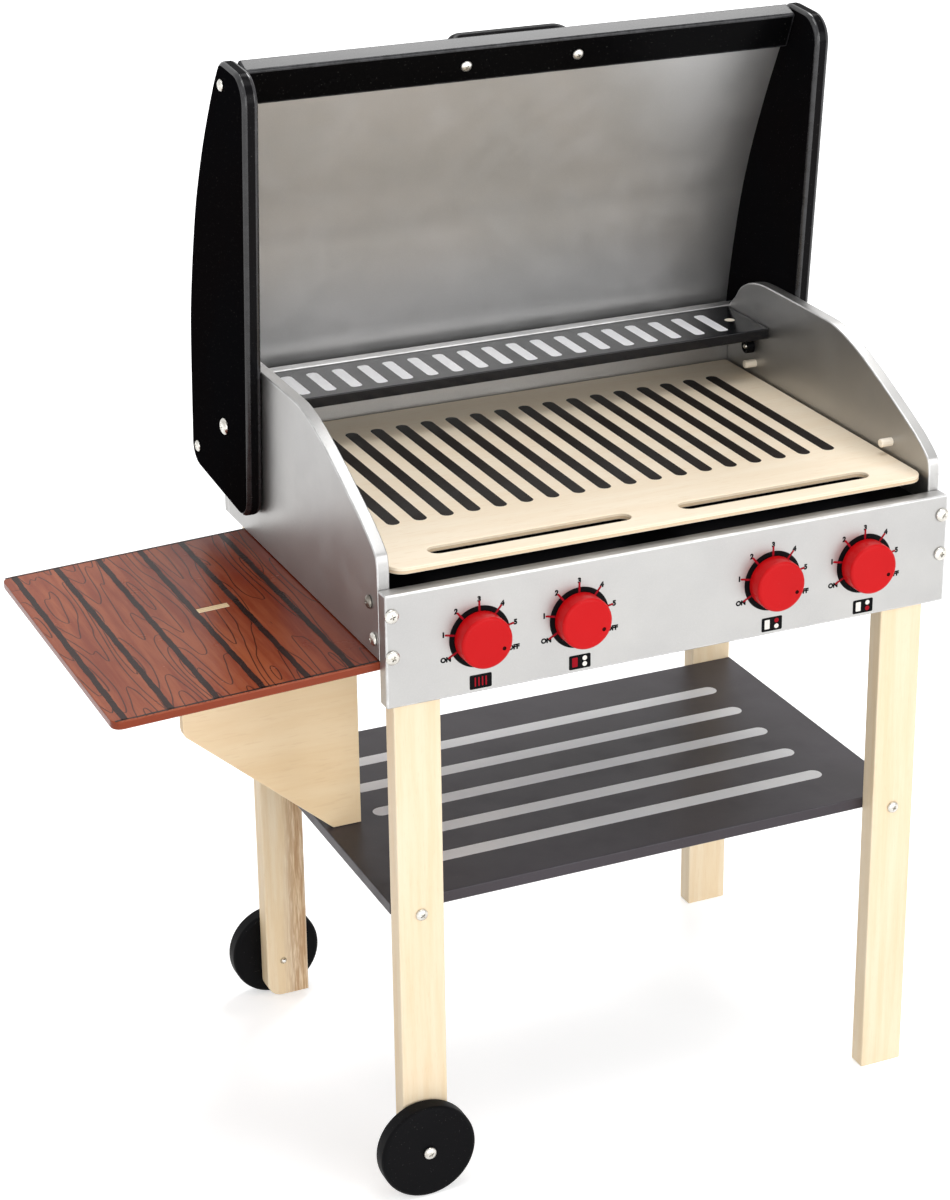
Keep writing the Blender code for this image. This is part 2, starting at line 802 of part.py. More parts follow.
def make_hinge_bolts():
    grip = -lid_plate_thickness - lid_side_gap - side_panel_thickness - 2 * seat_gap
    nut_end = grip - hinge_nut_thickness
    profile = dome_profile(hinge_head_radius, hinge_head_height)
    profile += [
        (hinge_shank_radius, 0),
        (hinge_shank_radius, grip),
        (hinge_nut_radius, grip),
        (hinge_nut_radius, nut_end),
        (hinge_shank_radius, nut_end),
        (hinge_shank_radius, nut_end - hinge_bolt_end),
        (0, nut_end - hinge_bolt_end),
    ]
    for name, side in sides.items():
        bolt = turned(f"hinge_bolt_{name}", profile, small_sides, "steel", grill)
        aim(bolt, (side * (plate_outer_x + seat_gap), hinge_y, hinge_z), (-side, 0, 0))


# The lid's frame has its origin on the hinge axis. Its Z runs from the hinge to the lid's front board
# and its Y from the lid's open side to its skin, so a place in it is (x, rise, reach).
def lid_plate_outline():
    crown = [(lid_crown * up, lid_front * reach) for reach, up in lid_crown_shares]
    nose = [(lid_crown * up, lid_front * reach) for reach, up in lid_nose_shares]
    rear_centre = (lid_crown - lid_rear_corner, -lid_back + lid_rear_corner)
    heel_centre = (-lid_skirt + lid_heel_corner, -lid_back + lid_heel_corner)
    front_centre = (-lid_skirt + lid_front_corner, lid_front - lid_front_corner)
    return (
        smooth_run(crown, 2)
        + nose
        + arc(front_centre, lid_front_corner, 90, 180)
        + arc(heel_centre, lid_heel_corner, 180, 270)
        + arc(rear_centre, lid_rear_corner, 270, 350)
    )


def lid_rail_ends():
    """The lid rail's lowest and highest reach, and its inner rise, where it stops on the back panel."""
    low = -lid_back + lid_rail_back_inset
    high = low + lid_rail_width
    inner = (back_face + seat_gap - hinge_y + sin(lid_lean) * high) / cos(lid_lean)
    return low, high, inner


def board_point(x, along, outward):
    """A place on the lid's front board: along its width, and outward from its middle plane."""
    reach = lid_front - lid_board_inset + along * cos(lid_board_tilt) - outward * sin(lid_board_tilt)
    rise = -lid_board_drop + along * sin(lid_board_tilt) + outward * cos(lid_board_tilt)
    return Vector((x, rise, reach))


def lid_screw_spots(side):
    x = side * plate_outer_x
    low, high, _ = lid_rail_ends()
    board = board_point(x, 0, 0)
    return {
        "front": (tuple(board), (-side, 0, 0)),
        "rear": ((x, lid_crown - lid_rail_screw_inset, (low + high) / 2), (-side, 0, 0)),
    }


def inner_end_hole(side, place):
    """The hole for a lid screw in the end of the board or rail between the plates."""
    point, inward = lid_screw_spots(side)[place]
    start = (side * lid_half, point[1], point[2])
    return screw_hole(start, inward, lid_screw_length - lid_plate_thickness)


def make_lid_plate(name, side):
    plate = flat_board(
        f"lid_plate_{name}", [lid_plate_outline()], lid_plate_thickness, "black_paint", lid
    )
    stand_across_x(plate, side * (plate_inner_x + lid_plate_thickness / 2))
    bevel(plate, lid_plate_edge, 2)
    through = lid_plate_thickness + cut_overrun
    holes = [screw_hole(*spot, through) for spot in lid_screw_spots(side).values()]
    hinge_point = (side * plate_outer_x, 0, 0)
    holes.append((hinge_point, (-side, 0, 0), hinge_shank_radius + seat_gap, through))
    drill(plate, holes, lid)


def make_lid_skin():
    _, rail_top, _ = lid_rail_ends()
    front_along = -lid_board_width / 2 - seat_gap
    front_outer = lid_board_thickness / 2 - skin_recess
    front_inner = board_point(0, front_along, front_outer - skin_thickness)
    front_end = board_point(0, front_along, front_outer)
    inner = [(lid_crown - skin_rear_inset, rail_top + seat_gap)]
    inner += [(lid_crown * up, lid_front * reach) for reach, up in skin_shares]
    inner.append((front_inner.y, front_inner.z))
    inner = smooth_run(inner)
    outer = [(inner[0][0] + skin_thickness, inner[0][1])]
    for before, here, after in zip(inner, inner[1:], inner[2:]):
        step = Vector(after) - Vector(before)
        normal = Vector((step.y, -step.x)).normalized()
        outer.append(tuple(Vector(here) + normal * skin_thickness))
    outer.append((front_end.y, front_end.z))
    skin = flat_board("lid_skin", [inner + outer[::-1]], 2 * lid_half, "silver_paint", lid)
    stand_across_x(skin, 0)


def make_lid_front_board():
    size = (2 * lid_half, lid_board_thickness, lid_board_width)
    board = box(
        "lid_front_board", size, board_point(0, 0, 0), "black_paint", lid, lid_board_edge, 2
    )
    board.rotation_euler.x = -lid_board_tilt
    holes = [inner_end_hole(side, "front") for side in sides.values()]
    for side in sides.values():
        point, inward = handle_screw_spot(side)
        holes.append(screw_hole(point, inward, lid_board_thickness + cut_overrun))
    drill(board, holes, lid)


def make_lid_rear_rail():
    low, high, inner = lid_rail_ends()
    outer = lid_crown - lid_rail_top_inset
    size = (2 * lid_half, outer - inner, high - low)
    centre = (0, (outer + inner) / 2, (high + low) / 2)
    rail = box("lid_rear_rail", size, centre, "black_paint", lid, lid_rail_edge)
    drill(rail, [inner_end_hole(side, "rear") for side in sides.values()], lid)


def handle_screw_spot(side):
    x = side * handle_half_span - handle_shift
    point = board_point(x, 0, -lid_board_thickness / 2)
    return point, board_point(0, 0, 1) - board_point(0, 0, 0)


def make_lid_handle():
    foot = lid_board_thickness / 2 + seat_gap
    bar = lid_board_thickness / 2 + handle_offset
    bend_x = handle_half_span - handle_bend
    right = arc((bend_x, bar - handle_bend), handle_bend, 0, 90)
    path = [(handle_half_span, foot), *right]
    path += [(-x, outward) for x, outward in reversed(path)]
    curve = bpy.data.curves.new("lid_handle", "CURVE")
    curve.dimensions = "3D"
    curve.bevel_depth = handle_radius
    curve.bevel_resolution = 4
    curve.use_fill_caps = True
    spline = curve.splines.new("POLY")
    spline.points.add(len(path) - 1)
    for point, (x, outward) in zip(spline.points, path):
        point.co = (*board_point(x - handle_shift, 0, outward), 1)
    handle = solid_from_curve("lid_handle", curve, "black_paint", lid)
    handle.matrix_basis = Matrix.Identity(4)
    holes = []
    for side in sides.values():
        point, inward = handle_screw_spot(side)
        start = point + inward * (lid_board_thickness + seat_gap)
        holes.append(screw_hole(start, inward, handle_screw_length - lid_board_thickness))
    drill(handle, holes, lid)


def make_lid_screws():
    for name, side in sides.items():
        for place, (point, inward) in lid_screw_spots(side).items():
            screw(f"lid_screw_{place}_{name}", point, inward, lid_screw_head, lid_screw_length, lid)
        point, inward = handle_screw_spot(side)
        screw(f"handle_screw_{name}", point, inward, lid_screw_head, handle_screw_length, lid)


def make_body():
    make_front_panel()
    for name, side in sides.items():
        make_side_panel(name, side)
    make_back_panel()
    make_floor()
    make_legs()
    make_shelf()
    make_rear_rail()
    make_warming_rack()
    make_pegs()
    make_grate()
    make_tray()
    make_tray_bracket()
    make_knobs()
    make_wheels()
    make_wheel_axles()
    make_body_screws()
    make_hinge_bolts()


def make_lid():
    for name, side in sides.items():
        make_lid_plate(name, side)
    make_lid_skin()
    make_lid_front_board()
    make_lid_rear_rail()
    make_lid_handle()
    make_lid_screws()


def centre_on_base():
    """Moves the whole grill so that the origin is the middle of its box, on the ground."""
    bpy.context.view_layer.update()
    scene_graph = bpy.context.evaluated_depsgraph_get()
    corners = []
    for piece in parts.objects:
        if piece.type == "MESH":
            solid = piece.evaluated_get(scene_graph)
            corners += [piece.matrix_world @ Vector(corner) for corner in solid.bound_box]
    low = [min(corner[axis] for corner in corners) for axis in range(3)]
    high = [max(corner[axis] for corner in corners) for axis in range(3)]
    grill.location = (-(low[0] + high[0]) / 2, -(low[1] + high[1]) / 2, -low[2])


for old in list(bpy.data.objects):
    bpy.data.objects.remove(old, do_unlink=True)
parts = make_collection("toy_barbecue_grill")
cutters = make_collection("cutters")
materials = {name: make_material(name) for name in finishes}
grill = make_empty("grill")
lid = make_empty("lid_hinge", grill, (0, hinge_y, hinge_z))
lid.rotation_euler.x = lid_lean
make_body()
make_lid()
centre_on_base()
bpy.context.view_layer.update()
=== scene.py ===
import json
import math

import bmesh
import bpy
from mathutils import Matrix, Vector

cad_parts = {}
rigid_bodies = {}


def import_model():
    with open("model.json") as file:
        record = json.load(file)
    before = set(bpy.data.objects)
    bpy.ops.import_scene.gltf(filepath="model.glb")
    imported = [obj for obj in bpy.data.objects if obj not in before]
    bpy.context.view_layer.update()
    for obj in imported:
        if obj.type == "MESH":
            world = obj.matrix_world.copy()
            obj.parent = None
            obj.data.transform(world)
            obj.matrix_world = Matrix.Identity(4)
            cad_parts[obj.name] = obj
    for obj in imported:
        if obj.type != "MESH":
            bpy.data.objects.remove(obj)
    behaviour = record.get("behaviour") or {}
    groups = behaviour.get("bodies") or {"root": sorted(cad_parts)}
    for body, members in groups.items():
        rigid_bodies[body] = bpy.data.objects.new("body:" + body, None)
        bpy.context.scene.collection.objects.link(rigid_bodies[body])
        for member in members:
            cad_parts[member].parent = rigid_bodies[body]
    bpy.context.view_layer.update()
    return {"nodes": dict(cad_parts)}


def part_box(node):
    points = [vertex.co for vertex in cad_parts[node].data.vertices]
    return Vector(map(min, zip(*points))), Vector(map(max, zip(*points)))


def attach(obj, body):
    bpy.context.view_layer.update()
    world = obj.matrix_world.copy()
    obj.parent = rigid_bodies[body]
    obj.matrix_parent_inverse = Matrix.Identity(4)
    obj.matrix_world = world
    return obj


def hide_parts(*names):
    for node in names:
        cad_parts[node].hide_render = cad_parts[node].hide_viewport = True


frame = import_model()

print("frame loaded,", len(frame["nodes"]), "nodes")

mm = 0.001
seatGap = 0.3 * mm  # between pieces that touch
inkLift = 0.01 * mm  # a print's underside over its board
inkDepth = 0.04 * mm  # and its thickness
weld = 0.001 * mm
cutterDepth = 40 * mm  # more than any board's thickness
sides = {"left": -1, "right": 1}

panelLow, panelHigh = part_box("front_panel")
middleX = (panelLow.x + panelHigh.x) / 2
frontFace = panelLow.y

# the boards' local axes: X and Y in the board's plane, Z through it
acrossX = Matrix(((0, 0, 1, 0), (1, 0, 0, 0), (0, 1, 0, 0), (0, 0, 0, 1)))
acrossY = Matrix.Rotation(math.radians(90), 4, "X")


def tint(red, green, blue):
    # a screen colour, 0 to 255, as the linear colour that a shader takes
    linear = [((c / 255 + 0.055) / 1.055) ** 2.4 if c > 10 else c / 255 / 12.92 for c in (red, green, blue)]
    return (*linear, 1)


# ready-made node steps

def addNode(tree, kind, inputs=None, **settings):
    node = tree.nodes.new(kind)
    for setting, value in settings.items():
        setattr(node, setting, value)
    for socket, value in (inputs or {}).items():
        if isinstance(value, bpy.types.NodeSocket):
            tree.links.new(value, node.inputs[socket])
        else:
            node.inputs[socket].default_value = value
    return node


def calc(tree, operation, first, second=0.0, third=0.0):
    node = addNode(tree, "ShaderNodeMath", {0: first, 1: second, 2: third}, operation=operation)
    return node.outputs[0]


def span(tree, value, low, high, toLow=0.0, toHigh=1.0):
    # value from low..high eased to toLow..toHigh
    inputs = {"Value": value, "From Min": low, "From Max": high, "To Min": toLow, "To Max": toHigh}
    return addNode(tree, "ShaderNodeMapRange", inputs, interpolation_type="SMOOTHSTEP").outputs[0]


def noise(tree, vector, scale, detail=2.0, roughness=0.5):
    inputs = {"Vector": vector, "Scale": scale, "Detail": detail, "Roughness": roughness}
    return addNode(tree, "ShaderNodeTexNoise", inputs)


def blendColour(tree, factor, first, second, amount=1.0):
    # from the first colour towards the second by factor times amount
    if amount != 1.0:
        factor = calc(tree, "MULTIPLY", factor, amount)
    return addNode(tree, "ShaderNodeMix", {0: factor, 6: first, 7: second}, data_type="RGBA").outputs[2]


def faceValue(tree, name):
    return addNode(tree, "ShaderNodeAttribute", attribute_name=name).outputs["Fac"]


def scaled(tree, vector, scale, location=(0, 0, 0)):
    inputs = {"Vector": vector, "Scale": scale, "Location": location}
    return addNode(tree, "ShaderNodeMapping", inputs).outputs[0]


def alongAxis(tree, vector, axis):
    return addNode(tree, "ShaderNodeSeparateXYZ", {0: vector}).outputs[axis]


def newGroup(name, inputs, outputs):
    tree = bpy.data.node_groups.new(name, "ShaderNodeTree")
    for label, start in inputs.items():
        kind = "NodeSocketVector" if start is None else "NodeSocketFloat"
        socket = tree.interface.new_socket(name=label, in_out="INPUT", socket_type=kind)
        if start is not None:
            socket.default_value = start
    for label in outputs:
        tree.interface.new_socket(name=label, in_out="OUTPUT", socket_type="NodeSocketFloat")
    return tree, tree.nodes.new("NodeGroupInput").outputs, tree.nodes.new("NodeGroupOutput").inputs


def connect(tree, sockets, **values):
    for label, value in values.items():
        tree.links.new(value, sockets[label])


def useGroup(tree, group, **inputs):
    node = tree.nodes.new("ShaderNodeGroup")
    node.node_tree = group
    for label, value in inputs.items():
        if isinstance(value, bpy.types.NodeSocket):
            tree.links.new(value, node.inputs[label])
        else:
            node.inputs[label].default_value = value
    return node.outputs


# the effects that several finishes share

def makeWoodGrain():
    tree, start, end = newGroup(
        "Wood grain", {"Coord": None, "Warp": 0.6, "Figure": 1.0}, ["Streak", "Fine", "Pore", "Height"]
    )
    wander = noise(tree, start["Coord"], 0.3, 2).outputs["Color"]
    centred = addNode(tree, "ShaderNodeVectorMath", {0: wander, 1: (0.5, 0.5, 0.5)}, operation="SUBTRACT")
    drift = addNode(
        tree, "ShaderNodeVectorMath", {0: centred.outputs[0], "Scale": start["Warp"]}, operation="SCALE"
    )
    bent = addNode(tree, "ShaderNodeVectorMath", {0: start["Coord"], 1: drift.outputs[0]}).outputs[0]
    streak = span(tree, noise(tree, bent, 1.0, 5, 0.62).outputs[0], 0.34, 0.68)
    fine = noise(tree, bent, 5.5, 3, 0.7).outputs[0]
    pore = span(tree, noise(tree, start["Coord"], 15, 1).outputs[0], 0.6, 0.72)
    figured = calc(tree, "MULTIPLY", streak, start["Figure"])
    raised = calc(tree, "MULTIPLY_ADD", fine, 0.6, figured)
    height = calc(tree, "MULTIPLY_ADD", pore, -0.5, raised)
    connect(tree, end, Streak=figured, Fine=fine, Pore=pore, Height=height)
    return tree


def makePlyLayers():
    tree, start, end = newGroup(
        "Ply layers", {"Coord": None, "Through": 0.0, "Thickness": 0.006, "Layers": 5.0, "Rim": 0.0},
        ["Layer", "Glue"],
    )
    wobble = calc(tree, "MULTIPLY_ADD", noise(tree, start["Coord"], 90, 2).outputs[0], 0.12, -0.06)
    share = calc(tree, "DIVIDE", start["Through"], start["Thickness"])
    phase = calc(tree, "PINGPONG", calc(tree, "MULTIPLY_ADD", share, start["Layers"], wobble), 1)
    glue = span(tree, calc(tree, "ABSOLUTE", calc(tree, "SUBTRACT", phase, 0.5)), 0.1, 0.02)
    walls = span(tree, start["Rim"], 0.5, 0.9)
    layer = calc(tree, "MULTIPLY", span(tree, phase, 0.42, 0.58), walls)
    connect(tree, end, Layer=layer, Glue=calc(tree, "MULTIPLY", glue, walls))
    return tree


def makePaintSkin():
    tree, start, end = newGroup(
        "Paint skin", {"Coord": None, "Peel": 420.0, "Fleck": 2600.0}, ["Height", "Fleck", "Cloud"]
    )
    peel = noise(tree, start["Coord"], start["Peel"]).outputs[0]
    fleck = noise(tree, start["Coord"], start["Fleck"]).outputs[0]
    cloud = noise(tree, start["Coord"], 14, 3, 0.55).outputs[0]
    fleck, cloud = span(tree, fleck, 0.5, 0.72), span(tree, cloud, 0.3, 0.7)
    connect(tree, end, Height=peel, Fleck=fleck, Cloud=cloud)
    return tree


def makeEdgeWearAndSheen():
    tree, start, end = newGroup(
        "Edge wear", {"Coord": None, "Edge": 0.0, "Size": 120.0, "Amount": 0.5}, ["Mask"]
    )
    # lightens the rounded edges in patches: partly real wear, partly a painted highlight where light catches
    # the edges
    patch = noise(tree, start["Coord"], start["Size"], 4, 0.65).outputs[0]
    rubbedAndSheen = calc(tree, "MULTIPLY", span(tree, patch, 0.35, 0.65, 0.3, 1.0), start["Edge"])
    connect(tree, end, Mask=calc(tree, "MULTIPLY", rubbedAndSheen, start["Amount"]))
    return tree


def makeHandling():
    tree, start, end = newGroup("Handling", {"Coord": None, "Amount": 1.0}, ["Smudge", "Dust"])
    smear = span(tree, noise(tree, start["Coord"], 38, 4, 0.6).outputs[0], 0.4, 0.75)
    speck = span(tree, noise(tree, start["Coord"], 900, 1).outputs[0], 0.7, 0.78)
    smear, speck = (calc(tree, "MULTIPLY", mask, start["Amount"]) for mask in (smear, speck))
    connect(tree, end, Smudge=smear, Dust=speck)
    return tree


woodGrain = makeWoodGrain()
plyLayers = makePlyLayers()
paintSkin = makePaintSkin()
edgeWearAndSheen = makeEdgeWearAndSheen()
handling = makeHandling()
print("shared node groups made")


# finishes

def startMaterial(name):
    material = bpy.data.materials.new(name)
    material.use_nodes = True
    tree = material.node_tree
    coord = tree.nodes.new("ShaderNodeTexCoord").outputs["Object"]
    return material, tree, tree.nodes["Principled BSDF"], coord


def finishSurface(tree, shader, colour, roughness, height, depth):
    bump = addNode(tree, "ShaderNodeBump", {"Height": height, "Strength": 1.0, "Distance": depth})
    tree.links.new(colour, shader.inputs["Base Color"])
    tree.links.new(roughness, shader.inputs["Roughness"])
    tree.links.new(bump.outputs["Normal"], shader.inputs["Normal"])


def usedMasks(tree, coord, look):
    # where the edges are lighter, partly real wear and partly a painted highlight along the rounded edges,
    # and where hands have left smudges and dust
    edge = faceValue(tree, "edge")
    wornAndSheen = useGroup(tree, edgeWearAndSheen, Coord=coord, Edge=edge, Size=look["wearSize"], Amount=look["wear"])
    hands = useGroup(tree, handling, Coord=coord, Amount=look["smudge"])
    return wornAndSheen["Mask"], hands["Smudge"], hands["Dust"]


def silverFinish(name, look):
    material, tree, shader, coord = startMaterial(name)
    skin = useGroup(tree, paintSkin, Coord=coord, Peel=look["peel"], Fleck=look["fleck"])
    wornAndSheen, smudge = usedMasks(tree, coord, look)[:2]
    colour = blendColour(tree, skin["Cloud"], look["colour"], look["shade"])
    colour = blendColour(tree, skin["Fleck"], colour, look["fleckColour"], look["glint"])
    colour = blendColour(tree, wornAndSheen, colour, look["edge"])
    rough = calc(tree, "MULTIPLY_ADD", smudge, 0.08, look["rough"])
    rough = calc(tree, "MULTIPLY_ADD", skin["Fleck"], 0.05, rough)
    shader.inputs["Metallic"].default_value = look["metallic"]
    finishSurface(tree, shader, colour, rough, skin["Height"], look["bump"])
    return material


def paintFinish(name, look):
    material, tree, shader, coord = startMaterial(name)
    skin = useGroup(tree, paintSkin, Coord=coord, Peel=look["peel"])
    wornAndSheen, smudge, dust = usedMasks(tree, coord, look)
    colour = blendColour(tree, skin["Cloud"], look["colour"], look["shade"])
    colour = blendColour(tree, wornAndSheen, colour, look["edge"])
    colour = blendColour(tree, dust, colour, look["dustColour"], look["dust"])
    rough = calc(tree, "MULTIPLY_ADD", smudge, 0.1, look["rough"])
    rough = calc(tree, "MULTIPLY_ADD", wornAndSheen, 0.15, rough)
    shader.inputs["Specular IOR Level"].default_value = look["gloss"]
    shader.inputs["Coat Roughness"].default_value = look["coatRough"]
    # more gloss on the rounded edges, and as far as rimGloss says on the walls between them
    walls = calc(tree, "MULTIPLY", faceValue(tree, "rim"), look["rimGloss"])
    glossy = calc(tree, "MAXIMUM", faceValue(tree, "edge"), walls)
    tree.links.new(calc(tree, "MULTIPLY", glossy, look["coat"]), shader.inputs["Coat Weight"])
    finishSurface(tree, shader, colour, rough, skin["Height"], look["bump"])
    return material


def woodFinish(name, look, grain, layers=0, thickness=0.0, middle=0.0, thin="Z"):
    # grain is the axis that the fibres follow, thin the axis through a board
    material, tree, shader, coord = startMaterial(name)
    scale = [look["across"]] * 3
    scale["XYZ".index(grain)] = look["along"]
    stretched = scaled(tree, coord, scale, look["shift"])
    wood = useGroup(tree, woodGrain, Coord=stretched, Warp=look["warp"], Figure=look["figure"])
    wornAndSheen, smudge = usedMasks(tree, coord, look)[:2]
    colour = blendColour(tree, wood["Streak"], look["pale"], look["deep"])
    colour = blendColour(tree, wood["Fine"], colour, look["deep"], look["fineness"])
    colour = blendColour(tree, wood["Pore"], colour, look["poreColour"], look["pores"])
    if "heart" in look:  # a brown heartwood band on one side of the piece
        low, high = look["heartSpan"]
        wander = noise(tree, scaled(tree, coord, (60, 60, 7)), 1.0, 4, 0.6).outputs[0]
        x = calc(tree, "MULTIPLY_ADD", wander, look["heartWander"], alongAxis(tree, coord, "X"))
        band = calc(tree, "MULTIPLY", span(tree, x, low, high), span(tree, wood["Fine"], 0.25, 0.6))
        colour = blendColour(tree, band, colour, look["heart"], 0.85)
    colour = blendColour(tree, faceValue(tree, "endGrain"), colour, look["end"], 0.55)
    if layers:
        through = calc(tree, "SUBTRACT", alongAxis(tree, coord, thin), middle - thickness / 2)
        inputs = dict(Coord=coord, Through=through, Thickness=thickness, Layers=layers)
        ply = useGroup(tree, plyLayers, Rim=faceValue(tree, "rim"), **inputs)
        colour = blendColour(tree, ply["Layer"], colour, look["layer"], 0.55)
        colour = blendColour(tree, ply["Glue"], colour, look["glue"], 0.6)
    colour = blendColour(tree, wornAndSheen, colour, look["edge"])
    rough = calc(tree, "MULTIPLY_ADD", wood["Fine"], 0.1, look["rough"])
    rough = calc(tree, "MULTIPLY_ADD", smudge, 0.06, rough)
    finishSurface(tree, shader, colour, rough, wood["Height"], look["bump"])
    return material


def steelFinish(name, look):
    material, tree, shader, coord = startMaterial(name)
    brushed = noise(tree, coord, 1500, 3, 0.7).outputs[0]
    stain = span(tree, noise(tree, coord, 260, 3).outputs[0], 0.35, 0.7)
    colour = blendColour(tree, stain, look["colour"], look["shade"])
    rough = calc(tree, "MULTIPLY_ADD", brushed, 0.14, look["rough"])
    shader.inputs["Metallic"].default_value = 1.0
    finishSurface(tree, shader, colour, rough, brushed, look["bump"])
    return material


def trayFinish(name, look):
    material, tree, shader, coord = startMaterial(name)
    wood = useGroup(tree, woodGrain, Coord=scaled(tree, coord, (170, 11, 170)), Warp=0.7, Figure=1.0)
    parts = addNode(tree, "ShaderNodeSeparateXYZ", {0: coord}).outputs
    fromLine = calc(tree, "DIVIDE", calc(tree, "SUBTRACT", parts["X"], look["firstLine"]), look["pitch"])
    plank = calc(tree, "FLOOR", fromLine)
    inPlank = calc(tree, "FRACT", fromLine)
    alongShift, depthShift = look["plankShifts"]  # so that each plank has lines of its own
    field = addNode(tree, "ShaderNodeCombineXYZ", {
        "X": calc(tree, "MULTIPLY", inPlank, look["wide"]),
        "Y": calc(tree, "MULTIPLY_ADD", parts["Y"], look["long"], calc(tree, "MULTIPLY", plank, alongShift)),
        "Z": calc(tree, "MULTIPLY", plank, depthShift),
    }).outputs[0]
    step = 0.02
    heights = []
    for offset in ((0, 0, 0), (step, 0, 0), (0, step, 0)):
        spot = addNode(tree, "ShaderNodeVectorMath", {0: field, 1: offset}).outputs[0]
        heights.append(calc(tree, "MULTIPLY", noise(tree, spot, 1.0, 2.0, 0.22).outputs[0], look["rings"]))
    slopes = []
    for height, stretch in zip(heights[1:], (look["wide"] / look["pitch"], look["long"])):
        slopes.append(calc(tree, "MULTIPLY", calc(tree, "SUBTRACT", height, heights[0]), stretch / step))
    slope = addNode(tree, "ShaderNodeCombineXYZ", {"X": slopes[0], "Y": slopes[1]}).outputs[0]
    steep = addNode(tree, "ShaderNodeVectorMath", {0: slope}, operation="LENGTH").outputs["Value"]
    away = calc(tree, "ABSOLUTE", calc(tree, "SUBTRACT", calc(tree, "FRACT", heights[0]), 0.5))
    line = span(tree, calc(tree, "DIVIDE", away, steep), look["lineWidth"] * 0.65, look["lineWidth"] * 0.35)
    margin = calc(tree, "ABSOLUTE", calc(tree, "SUBTRACT", inPlank, 0.5))
    line = calc(tree, "MULTIPLY", line, span(tree, margin, 0.46, 0.4))
    topFace = span(tree, faceValue(tree, "rim"), 0.4, 0.1)
    skin = useGroup(tree, paintSkin, Coord=coord, Peel=look["peel"])
    wornAndSheen, smudge = usedMasks(tree, coord, look)[:2]
    colour = blendColour(tree, wood["Streak"], look["pale"], look["deep"])
    colour = blendColour(tree, wood["Fine"], colour, look["deep"], 0.35)
    inner = span(tree, calc(tree, "ADD", fromLine, inPlank), look["innerFrom"], look["innerTo"])
    # painted shade: the tray is coloured darker beside the box, where the box shades it
    colour = blendColour(tree, inner, colour, look["paintedBoxShade"], 0.75)
    colour = blendColour(tree, calc(tree, "MULTIPLY", line, topFace), colour, look["ink"], 0.85)
    colour = blendColour(tree, calc(tree, "SUBTRACT", 1.0, topFace), colour, look["rim"])
    colour = blendColour(tree, wornAndSheen, colour, look["edge"])
    rough = calc(tree, "MULTIPLY_ADD", smudge, 0.12, look["rough"])
    shader.inputs["Specular IOR Level"].default_value = look["gloss"]
    height = calc(tree, "ADD", wood["Height"], skin["Height"])
    finishSurface(tree, shader, colour, rough, height, look["bump"])
    return material


# edge is a lighter silver on the rounded edges, partly wear and partly a painted highlight along them
silverLook = dict(
    colour=tint(178, 177, 175), shade=tint(170, 169, 168), edge=tint(214, 214, 214),
    fleckColour=tint(255, 255, 252), glint=0.12, metallic=0.95, rough=0.38, smudge=0.7, wear=0.7,
    wearSize=90, peel=520, fleck=2800, bump=0.02 * mm,
)
# edge is a grey on the rounded edges, partly wear and partly a painted highlight along them; the lid plates
# and other black pieces share it
blackLook = dict(
    colour=tint(10, 10, 12), shade=tint(14, 14, 16), edge=tint(88, 88, 92),
    dustColour=tint(200, 196, 188), rough=0.4, gloss=0.05, coat=0.0, coatRough=0.2, rimGloss=0.0,
    smudge=1.0, wear=0.35, wearSize=140, dust=0.05, peel=380, bump=0.02 * mm,
)
steelLook = dict(colour=tint(222, 220, 214), shade=tint(196, 192, 184), rough=0.2, bump=0.01 * mm)
woodLook = dict(
    pale=tint(246, 228, 198), deep=tint(238, 213, 174), poreColour=tint(222, 188, 144),
    end=tint(228, 202, 162), edge=tint(250, 236, 210), layer=tint(214, 180, 132), glue=tint(150, 112, 74),
    across=150, along=8, warp=0.9, figure=0.8, fineness=0.2, pores=0.2, rough=0.42, smudge=0.8,
    wear=0.35, wearSize=110, bump=0.05 * mm, shift=(0, 0, 0),
)
plyLook = dict(woodLook, pale=tint(247, 224, 186), deep=tint(238, 209, 165), across=60, along=6, warp=2.2)


def blackPaint(name, colour, shade=None, **changes):
    # the black paint's look with another colour and whatever else changes
    changes.update(colour=tint(*colour), shade=tint(*(shade or colour)))
    return paintFinish(name, dict(blackLook, **changes))


